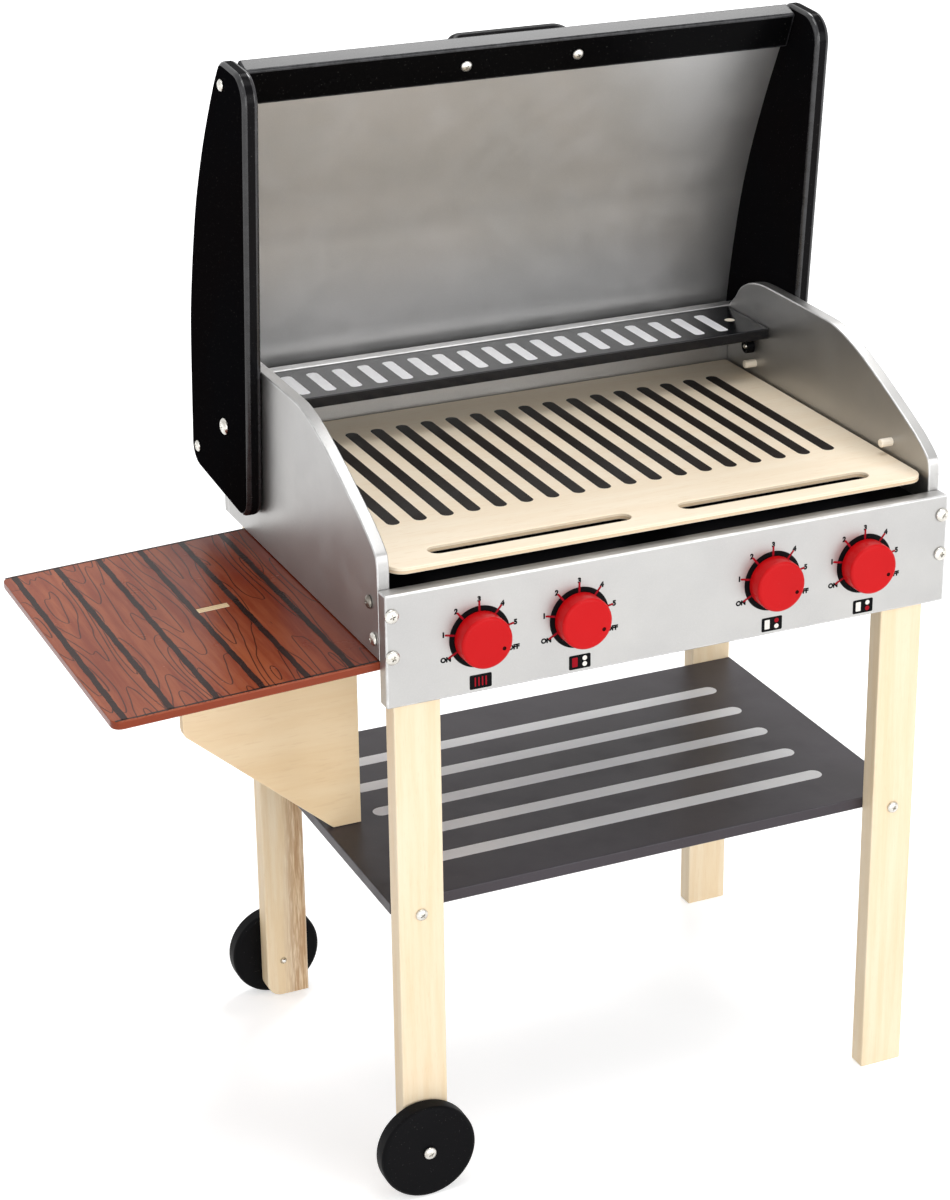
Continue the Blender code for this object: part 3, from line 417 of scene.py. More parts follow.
materials = {
    "silver": silverFinish("Silver paint", silverLook),
    "lidSilver": silverFinish("Lid silver", dict(
        silverLook, colour=tint(203, 202, 202), shade=tint(195, 195, 195), metallic=0.97, rough=0.42,
    )),
    "black": paintFinish("Black paint", blackLook),
    "plateBlack": blackPaint(
        "Lid plate black", (15, 13, 14), (14, 14, 16), gloss=0.0, coat=1.0, rimGloss=0.1, wear=0.2,
    ),
    "boardBlack": blackPaint(
        "Lid board black", (5, 5, 6), (7, 7, 8), rough=0.2, gloss=0.02, coat=0.45, rimGloss=1.0,
    ),
    "wheelBlack": blackPaint("Wheel black", (10, 10, 12), (14, 14, 16), rough=0.45, gloss=0.06, wear=0.2),
    "handleBlack": blackPaint(
        "Handle black", (10, 10, 12), (14, 14, 16), rough=0.28, gloss=0.06, bump=0.01 * mm,
    ),
    "shelfDark": blackPaint("Shelf lacquer", (70, 65, 70), (62, 57, 61), rough=0.34, gloss=0.2),
    "rackDark": blackPaint("Rack lacquer", (16, 16, 20), (12, 12, 16), rough=0.16, gloss=0.3, wear=0.08),
    "knobRed": blackPaint(
        "Knob red", (199, 12, 18), (190, 9, 15), edge=tint(226, 54, 50), rough=0.36, gloss=0.16, wear=0.15,
        peel=260,
    ),
    "dotShade": blackPaint("Pointer dot shade", (62, 14, 14), (50, 12, 12)),
    "inkBlack": blackPaint("Black ink", (10, 10, 12), (14, 14, 16), rough=0.45, wear=0.0),
    "inkRed": blackPaint("Red ink", (156, 20, 34), (146, 16, 30), dust=0.0, wear=0.0),
    "inkWhite": blackPaint("White ink", (236, 234, 228), (228, 226, 220), wear=0.0),
    "grateInk": blackPaint("Grate bars", (40, 34, 31), (30, 25, 23), rough=0.35, wear=0.0, bump=0.04 * mm),
    "paleInk": blackPaint("Pale bars", (247, 247, 248), (240, 240, 243), gloss=0.2, wear=0.0),
    "plankInk": blackPaint("Plank lines", (50, 30, 26), (42, 25, 21), rough=0.25, gloss=0.15, wear=0.0),
    "legWood": woodFinish("Leg wood", woodLook, "Z"),
    "railWood": woodFinish("Rail wood", woodLook, "X"),
    "pegWood": woodFinish(
        "Peg wood", dict(woodLook, pale=tint(255, 246, 230), deep=tint(250, 236, 212)), "X"
    ),
    "steel": steelFinish("Bright zinc", steelLook),
    "dullSteel": steelFinish("Dull steel", dict(
        steelLook, colour=tint(150, 146, 138), shade=tint(110, 104, 96), rough=0.32,
    )),
}
print("finishes made")


# ready-made shapes

def arcPoints(centre, radius, start, end, steps=10):
    angles = [math.radians(start + (end - start) * i / steps) for i in range(steps + 1)]
    return [(centre[0] + radius * math.cos(a), centre[1] + radius * math.sin(a)) for a in angles]


def circle(radius, steps):
    return arcPoints((0, 0), radius, 0, 360 - 360 / steps, steps - 1)


def cornerRing(left, front, right, back, radii, steps=10):
    # a rectangle whose corners have their own radii, from the right front one round
    corners = ((right, front, -1, 1), (right, back, -1, -1), (left, back, 1, -1), (left, front, 1, 1))
    ring = []
    for turn, ((x, y, inX, inY), radius) in enumerate(zip(corners, radii)):
        middle = (x + inX * radius, y + inY * radius)
        ring += arcPoints(middle, radius, 90 * turn - 90, 90 * turn, steps)
    return ring


def roundRect(centre, width, depth, radius, steps=6):
    x, y = centre
    right, back = width / 2, depth / 2
    return cornerRing(x - right, y - back, x + right, y + back, [radius] * 4, steps)


def slotRing(centre, length, width, steps=12):
    # a slot with round ends along X
    reach = length / 2 - width / 2
    return (
        arcPoints((centre[0] + reach, centre[1]), width / 2, -90, 90, steps)
        + arcPoints((centre[0] - reach, centre[1]), width / 2, 90, 270, steps)
    )


def smoothLine(points, steps=6):
    # a smooth line through the points
    padded = [points[0], *points, points[-1]]
    line = []
    for a, b, c, d in zip(padded, padded[1:], padded[2:], padded[3:]):
        for i in range(steps):
            t = i / steps
            line.append(tuple(
                q + 0.5 * t * (r - p + t * (2 * p - 5 * q + 4 * r - s + t * (3 * q - p - 3 * r + s)))
                for p, q, r, s in zip(a, b, c, d)
            ))
    return [*line, points[-1]]


def foldEdges(bm, axis, least=0.0, most=weld):
    # the edges between faces at an angle, where they reach from least to most along the axis
    found = []
    for edge in bm.edges:
        reach = abs(edge.verts[0].co[axis] - edge.verts[1].co[axis])
        if edge.calc_face_angle(0) > 1 and least <= reach < most:
            found.append(edge)
    return found


def roundEdges(bm, edges, width, segments):
    bmesh.ops.bevel(
        bm, geom=edges, offset=width, offset_type="OFFSET", affect="EDGES", segments=segments, profile=0.5,
        material=-1, clamp_overlap=True,
    )


def markFaces(bm, thin="Z", grain=None, boxy=False):
    # edge is 1 on rounded edges, rim is 1 on the walls round a board, endGrain is 1 across the fibres
    edgeLayer = bm.faces.layers.float.new("edge")
    rimLayer = bm.faces.layers.float.new("rim")
    endLayer = bm.faces.layers.float.new("endGrain")
    bm.normal_update()
    for face in bm.faces:
        out = [abs(part) for part in face.normal]
        through = out["XYZ".index(thin)]
        face[rimLayer] = 1 - through
        face[edgeLayer] = float(max(out) < 0.985 if boxy else 0.05 < through < 0.98)
        if grain:
            face[endLayer] = float(out["XYZ".index(grain)] > 0.8)


def flatBoard(outline, thickness, edge=0.0, segments=3, holes=()):
    # a board about Z = 0 from its outline, with the rims of its two faces rounded
    bm = bmesh.new()
    for ring in (outline, *holes):
        corners = [bm.verts.new((x, y, -thickness / 2)) for x, y in ring]
        for first, second in zip(corners, corners[1:] + corners[:1]):
            bm.edges.new((first, second))
    if holes:
        bmesh.ops.triangle_fill(bm, use_beauty=True, use_dissolve=True, edges=bm.edges[:])
    else:
        bm.faces.new(bm.verts[:])
    raised = bmesh.ops.extrude_face_region(bm, geom=bm.faces[:])["geom"]
    tops = [item for item in raised if isinstance(item, bmesh.types.BMVert)]
    bmesh.ops.translate(bm, vec=(0, 0, thickness), verts=tops)
    bmesh.ops.recalc_face_normals(bm, faces=bm.faces)
    if edge:
        roundEdges(bm, foldEdges(bm, 2), edge, segments)
    return bm


def roundBox(size, edge, segments=3):
    bm = bmesh.new()
    bmesh.ops.create_cube(bm, size=1)
    bmesh.ops.scale(bm, vec=size, verts=bm.verts)
    roundEdges(bm, bm.edges[:], edge, segments)
    return bm


def lathe(profile, steps=64, closed=False):
    # turns (radius, height) points about Z
    bm = bmesh.new()
    corners = [bm.verts.new((radius, 0, height)) for radius, height in profile]
    pairs = list(zip(corners, corners[1:]))
    if closed:
        pairs.append((corners[-1], corners[0]))
    edges = [bm.edges.new(pair) for pair in pairs]
    bmesh.ops.spin(
        bm, geom=corners + edges, cent=(0, 0, 0), axis=(0, 0, 1), dvec=(0, 0, 0), angle=math.tau,
        steps=steps, use_merge=True, use_normal_flip=False, use_duplicate=False,
    )
    bmesh.ops.remove_doubles(bm, verts=bm.verts, dist=weld)
    bmesh.ops.recalc_face_normals(bm, faces=bm.faces)
    return bm


def addShape(bm, other):
    # joins another shape into bm
    mesh = bpy.data.meshes.new("joining")
    other.to_mesh(mesh)
    other.free()
    bm.from_mesh(mesh)
    bpy.data.meshes.remove(mesh)


def takeShape(source, *others):
    # the shape of an object with its modifiers; it and the other objects are removed
    graph = bpy.context.evaluated_depsgraph_get()
    mesh = bpy.data.meshes.new_from_object(source.evaluated_get(graph))
    bm = bmesh.new()
    bm.from_mesh(mesh)
    used = [source, *others]
    bpy.data.batch_remove([*used, *(each.data for each in used), mesh])
    return bm


def shapeFromCurve(curve):
    source = bpy.data.objects.new(curve.name, curve)
    bpy.context.scene.collection.objects.link(source)
    bm = takeShape(source)
    bmesh.ops.remove_doubles(bm, verts=bm.verts, dist=weld)
    return bm


def carve(bm, cutter):
    # the shape that is left of bm when the cutter is taken out
    solids = []
    for shape in (bm, cutter):
        mesh = bpy.data.meshes.new("carving")
        shape.to_mesh(mesh)
        shape.free()
        solids.append(bpy.data.objects.new("carving", mesh))
        bpy.context.scene.collection.objects.link(solids[-1])
    cut = solids[0].modifiers.new("Carve", "BOOLEAN")
    cut.object = solids[1]
    cut.solver = "EXACT"
    return takeShape(*solids)


def rods(places, radius, depth, segments=32):
    # cutters for round holes, each place the matrix of a hole's middle with its axis along Z
    bm = bmesh.new()
    for place in places:
        bmesh.ops.create_cone(
            bm, cap_ends=True, segments=segments, radius1=radius, radius2=radius, depth=depth,
            matrix=place,
        )
    return bm


def outward(point, direction, turn=0.0):
    # a place at point with Z along direction, turned about it
    face = Vector(direction).to_track_quat("Z", "Y").to_matrix().to_4x4()
    return Matrix.Translation(point) @ face @ Matrix.Rotation(math.radians(turn), 4, "Z")


def newPiece(name, bm, material, body="root", replaces=(), place=None, sharp=50):
    if place is not None:
        bm.transform(place)
    bmesh.ops.recalc_face_normals(bm, faces=bm.faces)
    name = f"{name}_detail" if replaces else name
    mesh = bpy.data.meshes.new(name)
    bm.to_mesh(mesh)
    bm.free()
    mesh.shade_smooth()
    mesh.set_sharp_from_angle(angle=math.radians(sharp))
    for each in material if isinstance(material, (list, tuple)) else [material]:
        mesh.materials.append(materials[each] if isinstance(each, str) else each)
    piece = bpy.data.objects.new(name, mesh)
    bpy.context.scene.collection.objects.link(piece)
    normals = piece.modifiers.new("Flat faces", "WEIGHTED_NORMAL")
    normals.keep_sharp = True
    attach(piece, body)
    if replaces:
        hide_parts(*replaces)


def nodePiece(node, bm, material, place=None, body="root", sharp=50):
    # a piece in place of the node whose name it has
    newPiece(node, bm, material, body, [node], place, sharp)


def boxPiece(node, edge, material, thin, grain=None):
    # a rounded board that fills the node's box
    low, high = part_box(node)
    bm = roundBox(high - low, edge)
    markFaces(bm, thin, grain, boxy=True)
    nodePiece(node, bm, material, Matrix.Translation((low + high) / 2))


# the grill box

frontPanel = dict(edge=1.1 * mm, bore=4.3 * mm)
backPanel = dict(edge=1.0 * mm)
fireboxFloor = dict(edge=0.6 * mm)
rearRail = dict(edge=0.8 * mm)


def makeFrontPanel():
    size = panelHigh - panelLow
    bm = roundBox(size, frontPanel["edge"])
    markFaces(bm, "Y", boxy=True)
    bores = []
    for number in range(1, 5):
        low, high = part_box(f"knob_{number}")
        axis = (low + high) / 2 - (panelLow + panelHigh) / 2
        bores.append(Matrix.Translation((axis.x, 0, axis.z)) @ acrossY)
    bm = carve(bm, rods(bores, frontPanel["bore"], 2 * size.y))
    place = Matrix.Translation((panelLow + panelHigh) / 2)
    nodePiece("front_panel", bm, "silver", place)


# shares of the panel's depth and of its rise over the shoulder
sidePanel = dict(
    edge=1.0 * mm, shoulder=52.4 * mm, segments=3,
    crown=[
        (0.0, 0.0), (0.004, 0.11), (0.017, 0.185), (0.07, 0.33), (0.155, 0.505), (0.256, 0.698),
        (0.358, 0.868), (0.447, 0.968), (0.53, 0.992), (0.743, 1.0), (0.831, 0.995), (0.883, 0.956),
        (0.917, 0.9), (0.943, 0.831), (0.966, 0.72), (1.0, 0.6),
    ],
)


def makeSidePanel(side):
    node = f"side_panel_{side}"
    low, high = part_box(node)
    shoulder = low.z + sidePanel["shoulder"]
    depth, rise = high.y - low.y, high.z - shoulder
    points = [(low.y + depth * back, shoulder + rise * up) for back, up in sidePanel["crown"]]
    crown = smoothLine(points)
    outline = [(high.y, low.z), (low.y, low.z), *crown]
    bm = flatBoard(outline, high.x - low.x, sidePanel["edge"], sidePanel["segments"])
    markFaces(bm, "Z")
    place = Matrix.Translation(((low.x + high.x) / 2, 0, 0)) @ acrossX
    nodePiece(node, bm, "silver", place)


rack = dict(edge=0.7 * mm, hole=3.6 * mm, holeSteps=48)


def makeRack():
    low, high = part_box("warming_rack")
    middle = (low + high) / 2
    bm = roundBox(high - low, rack["edge"])
    holes = []
    for side in sides:
        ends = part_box(f"rack_dowel_{side}")
        spot = (ends[0] + ends[1]) / 2 - middle
        holes.append(Matrix.Translation((spot.x, spot.y, 0)))
    bm = carve(bm, rods(holes, rack["hole"], cutterDepth, rack["holeSteps"]))
    markFaces(bm, "Z", boxy=True)
    nodePiece("warming_rack", bm, "rackDark", Matrix.Translation(middle))


peg = dict(edge=0.7 * mm, steps=32)


def makePeg(node, axis):
    # a round peg that fills the node's box, rounded at the end that shows
    low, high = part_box(node)
    middle = (low + high) / 2
    length = abs((high - low).dot(Vector(axis)))
    radius = min(high - low) / 2
    top = length / 2
    soft = peg["edge"]
    rounding = arcPoints((radius - soft, top - soft), soft, 90, 0, 4)
    bm = lathe([(0, top), *rounding, (radius, -top), (0, -top)], peg["steps"])
    nodePiece(node, bm, "pegWood", outward(middle, axis))


def makeBox():
    makeFrontPanel()
    for side, sign in sides.items():
        makeSidePanel(side)
        makePeg(f"rack_dowel_{side}", (0, 0, 1))
        for level in ("upper", "lower"):
            for end in ("front", "rear"):
                makePeg(f"peg_{level}_{end}_{side}", (-sign, 0, 0))
    boxPiece("back_panel", backPanel["edge"], "silver", "Y")
    boxPiece("firebox_floor", fireboxFloor["edge"], "black", "Z")
    boxPiece("rear_rail", rearRail["edge"], "railWood", "Y", "X")
    makeRack()
    print("grill box made")


# legs and shelf

leg = dict(edge=1.0 * mm, corner=10 * mm, cornerSteps=12)
lowerShelf = dict(edge=0.8 * mm)
heartLeg = dict(
    woodLook, heart=tint(176, 132, 88), heartSpan=(-86.1 * mm, -74.1 * mm), heartWander=12 * mm,
    figure=1.2, shift=(3, 7, 1),
)


def makeLeg(end, side):
    node = f"leg_{end}_{side}"
    low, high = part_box(node)
    material = "legWood"
    if node == "leg_rear_left":
        material = woodFinish("Heartwood leg", heartLeg, "Z")
    if side == "right":
        boxPiece(node, leg["edge"], material, "Y", "Z")
        return
    corner = leg["corner"]
    outline = [(high.x, low.z), (high.x, high.z), (low.x, high.z)]
    outline += arcPoints((low.x + corner, low.z + corner), corner, 180, 270, leg["cornerSteps"])
    bm = flatBoard(outline, high.y - low.y, leg["edge"])
    markFaces(bm, "Z", "Y")
    nodePiece(node, bm, material, Matrix.Translation((0, (low.y + high.y) / 2, 0)) @ acrossY)


def makeStand():
    for side in sides:
        for end in ("front", "rear"):
            makeLeg(end, side)
    boxPiece("lower_shelf", lowerShelf["edge"], "shelfDark", "Z")
    print("legs and shelf made")


# grate, a thin board with two hand slots and its printed bars

grate = dict(
    frontCorner=10 * mm, backCorner=2 * mm, edge=0.7 * mm, slotLength=125.8 * mm, slotWidth=11.8 * mm,
    slotOffset=78.7 * mm, slotInset=18.1 * mm, layers=3,
)
grateWood = dict(
    plyLook, pale=tint(249, 234, 210), deep=tint(243, 223, 194), fineness=0.12, figure=0.6,
)
barCount = 18
grateBar = dict(width=8.0 * mm, corner=4 * mm, front=73.4 * mm, back=229 * mm, pitch=16.81 * mm)
rackBar = dict(width=7.4 * mm, corner=2.6 * mm, front=211 * mm, back=247.5 * mm, pitch=16.9 * mm)
stripe = dict(width=11.2 * mm, left=42 * mm, right=318 * mm, middle=133 * mm, pitch=34.65 * mm, count=5)


def inkPlace(surface=0.0):
    return Matrix.Translation((0, 0, surface + inkLift + inkDepth / 2))


def printBars(name, look, surface, material, body):
    # pale or dark bars that run front to back
    bm = bmesh.new()
    length = look["back"] - look["front"]
    y = frontFace + look["front"] + length / 2
    for i in range(barCount):
        x = middleX + (i - (barCount - 1) / 2) * look["pitch"]
        bar = roundRect((x, y), look["width"], length, look["corner"] - weld)
        addShape(bm, flatBoard(bar, inkDepth))
    newPiece(name, bm, material, body, place=inkPlace(surface))


def makeGrate():
    low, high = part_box("grate")
    front, back = grate["frontCorner"], grate["backCorner"]
    outline = cornerRing(low.x, low.y, high.x, high.y, (front, back, back, front))
    slots = []
    for sign in sides.values():
        spot = (middleX + sign * grate["slotOffset"], low.y + grate["slotInset"])
        slots.append(slotRing(spot, grate["slotLength"], grate["slotWidth"]))
    thickness, middle = high.z - low.z, (low.z + high.z) / 2
    bm = flatBoard(outline, thickness, grate["edge"], 2, slots)
    markFaces(bm)
    wood = woodFinish("Grate plywood", grateWood, "X", grate["layers"], thickness, middle, "Z")
    nodePiece("grate", bm, wood, Matrix.Translation((0, 0, middle)), "grate")
    printBars("grate_bars", grateBar, high.z, "grateInk", "grate")
    print("grate made")


def printRackAndShelf():
    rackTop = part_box("warming_rack")[1].z
    printBars("rack_bars", rackBar, rackTop, "paleInk", "root")
    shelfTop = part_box("lower_shelf")[1].z
    bm = bmesh.new()
    x = panelLow.x + (stripe["left"] + stripe["right"]) / 2
    for i in range(stripe["count"]):
        y = frontFace + stripe["middle"] + (i - (stripe["count"] - 1) / 2) * stripe["pitch"]
        ring = slotRing((x, y), stripe["right"] - stripe["left"], stripe["width"])
        addShape(bm, flatBoard(ring, inkDepth))
    newPiece("shelf_stripes", bm, "paleInk", place=inkPlace(shelfTop))
    print("rack and shelf prints made")


# side tray and its bracket

tray = dict(
    droop=2.3, thickness=5 * mm, corner=6 * mm, edge=0.8 * mm, slotReach=57.8 * mm, slotLength=22.6 * mm,
    slotWidth=6.6 * mm,
)
bracket = dict(edge=0.5 * mm, layers=5)
plank = dict(
    lines=[reach * mm for reach in (146, 119.8, 93.6, 67.4, 41.2, 15)], width=3.7 * mm,
    rough=0.35 * mm, lineEnd=1.2 * mm, border=1.6 * mm, borderInset=1.9 * mm, borderEnd=2 * mm,
)
trayLook = dict(
    pale=tint(166, 90, 56), deep=tint(136, 60, 35), paintedBoxShade=tint(100, 26, 18), innerFrom=2.6,
    innerTo=7.5, ink=tint(58, 26, 18), rim=tint(134, 56, 30), edge=tint(160, 80, 48),
    firstLine=panelLow.x - plank["lines"][0], pitch=26.2 * mm, wide=1.5, long=6.5, rings=12.0,
    lineWidth=0.75 * mm, plankShifts=(3.7, 1.9), rough=0.2, gloss=0.2, smudge=0.8, wear=0.5,
    wearSize=120, peel=300, bump=0.03 * mm,
)
bracketWood = dict(plyLook, across=45, along=5, warp=3.0, figure=1.0)


def roughLine(length, width, seed):
    # the outline of a long hand-cut line along Y, its edges a little uneven
    steps = 60
    ys = [length * (i / steps - 0.5) for i in range(steps + 1)]

    def wobble(y, phase):
        waves = ((210, 1, 0.5), (470, 2.3, 0.3), (990, 4.1, 0.2))
        return plank["rough"] * sum(share * math.sin(y * pace + phase * turn) for pace, turn, share in waves)

    left = [(-width / 2 + wobble(y, seed), y) for y in ys]
    right = [(width / 2 + wobble(y, seed + 5), y) for y in ys]
    return left[::-1] + right


def makeTray():
    low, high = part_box("side_tray")
    lean = Matrix.Rotation(math.radians(-tray["droop"]), 4, "Y")
    place = Matrix.Translation((high.x, low.y, high.z)) @ lean  # on the inner top edge
    length = (high.x - low.x) / math.cos(math.radians(tray["droop"]))
    width = high.y - low.y
    outline = roundRect((-length / 2, width / 2), length, width, tray["corner"])
    bm = flatBoard(outline, tray["thickness"], tray["edge"])
    bracketLow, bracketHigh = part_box("tray_bracket")
    slot = bmesh.new()
    slotX = panelLow.x - tray["slotReach"] - high.x
    slotY = (bracketLow.y + bracketHigh.y) / 2 - low.y
    size = (tray["slotLength"], tray["slotWidth"], 4 * tray["thickness"], 1)
    slotPlace = Matrix.Translation((slotX, slotY, 0)) @ Matrix.Diagonal(size)
    bmesh.ops.create_cube(slot, size=1, matrix=slotPlace)
    bm = carve(bm, slot)
    markFaces(bm)
    middle = place @ Matrix.Translation((0, 0, -tray["thickness"] / 2))
    nodePiece("side_tray", bm, trayFinish("Stained tray", trayLook), middle)
    lines = bmesh.new()
    for number, reach in enumerate(plank["lines"]):
        x = (panelLow.x - reach - high.x) / math.cos(math.radians(tray["droop"]))
        across = width - 2 * plank["lineEnd"]
        shape = flatBoard(roughLine(across, plank["width"], number * 1.7), inkDepth)
        shape.transform(Matrix.Translation((x, width / 2, 0)))
        addShape(lines, shape)
    for number, y in enumerate((plank["borderInset"], width - plank["borderInset"])):
        along = length - 2 * plank["borderEnd"]
        shape = flatBoard(roughLine(along, plank["border"], 11 + number), inkDepth)
        shape.transform(Matrix.Translation((-length / 2, y, 0)) @ Matrix.Rotation(math.pi / 2, 4, "Z"))
        addShape(lines, shape)
    newPiece("tray_plank_lines", lines, "plankInk", place=place @ inkPlace())


def makeBracket():
    low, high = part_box("tray_bracket")
    bm = bmesh.new()
    bm.from_mesh(frame["nodes"]["tray_bracket"].data)
    bmesh.ops.remove_doubles(bm, verts=bm.verts, dist=weld)
    bmesh.ops.dissolve_limit(bm, angle_limit=math.radians(1), verts=bm.verts, edges=bm.edges)
    roundEdges(bm, foldEdges(bm, 1), bracket["edge"], 2)
    markFaces(bm, "Y")
    thickness, middle = high.y - low.y, (low.y + high.y) / 2
    wood = woodFinish("Bracket plywood", bracketWood, "X", bracket["layers"], thickness, middle, "Y")
    nodePiece("tray_bracket", bm, wood)
    print("tray and bracket made")


# screws, bolts and axles

screw = dict(
    head=2.2 * mm, rimHeight=0.35 * mm, foot=0.985, crossLength=1.15, crossWidth=0.26, crossDepth=0.62,
    crossFloor=0.45, shank=1.5 * mm, steps=48,
)
axle = dict(head=2.5 * mm, shank=2.2 * mm)
templates = {}


def domeProfile(radius, height, rim, steps=10):
    points = [(0, height)]
    for i in range(1, steps + 1):
        angle = math.pi / 2 * i / steps
        points.append((radius * math.sin(angle), rim + (height - rim) * math.cos(angle)))
    return [*points, (radius * screw["foot"], 0)]


def crossCutter(radius, height):
    # the four-armed recess, narrower at its floor
    reach, half = radius * screw["crossLength"] / 2, radius * screw["crossWidth"] / 2
    depth = 2 * height * screw["crossDepth"]
    plus = []
    for turn in range(4):
        spin = Matrix.Rotation(math.pi / 2 * turn, 2)
        plus += [tuple(spin @ Vector(corner)) for corner in ((half, half), (half, reach), (-half, reach))]
    bm = flatBoard(plus, depth)
    small = screw["crossFloor"]
    bmesh.ops.scale(bm, vec=(small, small, 1), verts=[corner for corner in bm.verts if corner.co.z < 0])
    bmesh.ops.translate(bm, vec=(0, 0, height), verts=bm.verts)
    return bm


def screwTemplate(radius, height, length, shank):
    # a dome head with its cross recess and a plain shank, kept as a mesh and copied for each screw
    key = (round(radius, 5), round(length, 5))
    if key not in templates:
        profile = domeProfile(radius, height, screw["rimHeight"])
        profile += [(shank, 0), (shank, -length + shank), (0, -length)]
        bm = lathe(profile, screw["steps"])
        bm = carve(bm, crossCutter(radius, height))
        templates[key] = bpy.data.meshes.new("screw template")
        bm.to_mesh(templates[key])
        bm.free()
    bm = bmesh.new()
    bm.from_mesh(templates[key])
    return bm


def makeScrew(node, direction, turn, look=screw, material="steel", body="root"):
    # a screw along one of the frame's axes, at its node's own size and place
    low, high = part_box(node)
    axis = Vector(direction)
    size = high - low
    reach = abs(size.dot(axis))
    radius = max(extent for extent, part in zip(size, axis) if part == 0) / 2
    seat = (low + high) / 2 + axis * (reach / 2 - look["head"])
    bm = screwTemplate(radius, look["head"], reach - look["head"], look["shank"])
    nodePiece(node, bm, material, outward(seat, axis, turn), body)


def makeScrews():
    front, rear = (0, -1, 0), (0, 1, 0)
    for number, (side, sign) in enumerate(sides.items()):
        outer = (sign, 0, 0)
        makeScrew(f"panel_screw_upper_{side}", front, 17 + 40 * number)
        makeScrew(f"panel_screw_lower_{side}", front, 62 + 25 * number)
        makeScrew(f"floor_screw_{side}", outer, 30, material="dullSteel")
        makeScrew(f"leg_screw_{side}", outer, 8)
        makeScrew(f"shelf_screw_front_{side}", front, 35 + 30 * number)
        makeScrew(f"shelf_screw_rear_{side}", rear, 12)
        makeScrew(f"lid_screw_front_{side}", outer, 20, body="lid")
        makeScrew(f"lid_screw_rear_{side}", outer, 50, body="lid")
    makeScrew("wheel_axle_front", front, 25, axle)
    makeScrew("wheel_axle_rear", rear, 0, axle)
    print("screws made")


makeBox()
makeStand()
makeGrate()
printRackAndShelf()
makeTray()
makeBracket()
makeScrews()


# hinge bolts with their cap nuts

hinge = dict(
    head=3 * mm, radius=5.3 * mm, shank=2.5 * mm, turn=15, nutRadius=4.8 * mm, nutLength=5 * mm,
    nutEdge=0.8 * mm, boltEnd=1.5 * mm,
)


def makeHinges():
    for side, sign in sides.items():
        low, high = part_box(f"hinge_bolt_{side}")
        middle = (low + high) / 2
        length = high.x - low.x - hinge["head"]
        seatX = middle.x + sign * ((high.x - low.x) / 2 - hinge["head"])
        place = outward((seatX, middle.y, middle.z), (sign, 0, 0), hinge["turn"])
        bolt = screwTemplate(hinge["radius"], hinge["head"], length, hinge["shank"])
        nodePiece(f"hinge_bolt_{side}", bolt, "steel", place)
        top = -length + hinge["boltEnd"] + hinge["nutLength"]
        end = top - hinge["nutLength"]
        outer, inner, soft = hinge["nutRadius"], hinge["shank"], hinge["nutEdge"]
        rounding = arcPoints((outer - soft, end + soft), soft, 0, -90, 5)
        profile = [(inner, top), (outer, top), *rounding, (inner + soft, end), (inner, end + soft)]
        ring = lathe(profile, 40, closed=True)
        newPiece(f"hinge_nut_{side}", ring, "handleBlack", place=place)
    print("hinges made")


# knobs and the dials printed behind them

knob = dict(
    edge=2.0 * mm, baseEdge=0.5 * mm, thickness=11.2 * mm, shaft=4 * mm, collar=7 * mm,
    collarLength=3 * mm, dotRadius=1.2 * mm, dotDepth=0.7 * mm, dotReach=10.9 * mm, dotAngle=-25,
)
dial = dict(
    disc=18.5 * mm, hole=6 * mm, steps=96, tickStart=14.6 * mm, tickEnd=21.6 * mm, tickWidth=1.25 * mm,
    texts=["ON", "1", "2", "3", "4", "5", "OFF"], textReach=22.4 * mm, textSize=4.2 * mm,
    wordReach=23.2 * mm, wordSize=4.0 * mm, bold=0.07, first=207, step=39,
)
icon = dict(
    width=13.6 * mm, height=8.7 * mm, corner=0.9 * mm, drop=27.3 * mm, shift=0.3 * mm,
    bar=(0.85 * mm, 5.6 * mm, 0.35 * mm), barPitch=2.2 * mm, block=(3.4 * mm, 5.8 * mm, 0.5 * mm),
    plate=1.45 * mm, across=3.1 * mm, rise=1.8 * mm,
)


def frontPlace(x, z, layer=0):
    # a place on the front panel's face, X to the right and Y up, each ink layer over the last
    lift = inkLift + inkDepth / 2 + layer * (inkLift + inkDepth)
    return Matrix.Translation((x, frontFace - lift, z)) @ acrossY


def printShape(name, bm, material, x, z, layer=0):
    newPiece(name, bm, material, place=frontPlace(x, z, layer))


def printText(name, text, size, x, z):
    curve = bpy.data.curves.new(name, "FONT")
    curve.body = text
    curve.size = size
    curve.align_x = "CENTER"
    curve.align_y = "CENTER"
    curve.extrude = inkDepth / 2
    curve.resolution_u = 4
    curve.offset = size * dial["bold"]
    printShape(name, shapeFromCurve(curve), "inkBlack", x, z)


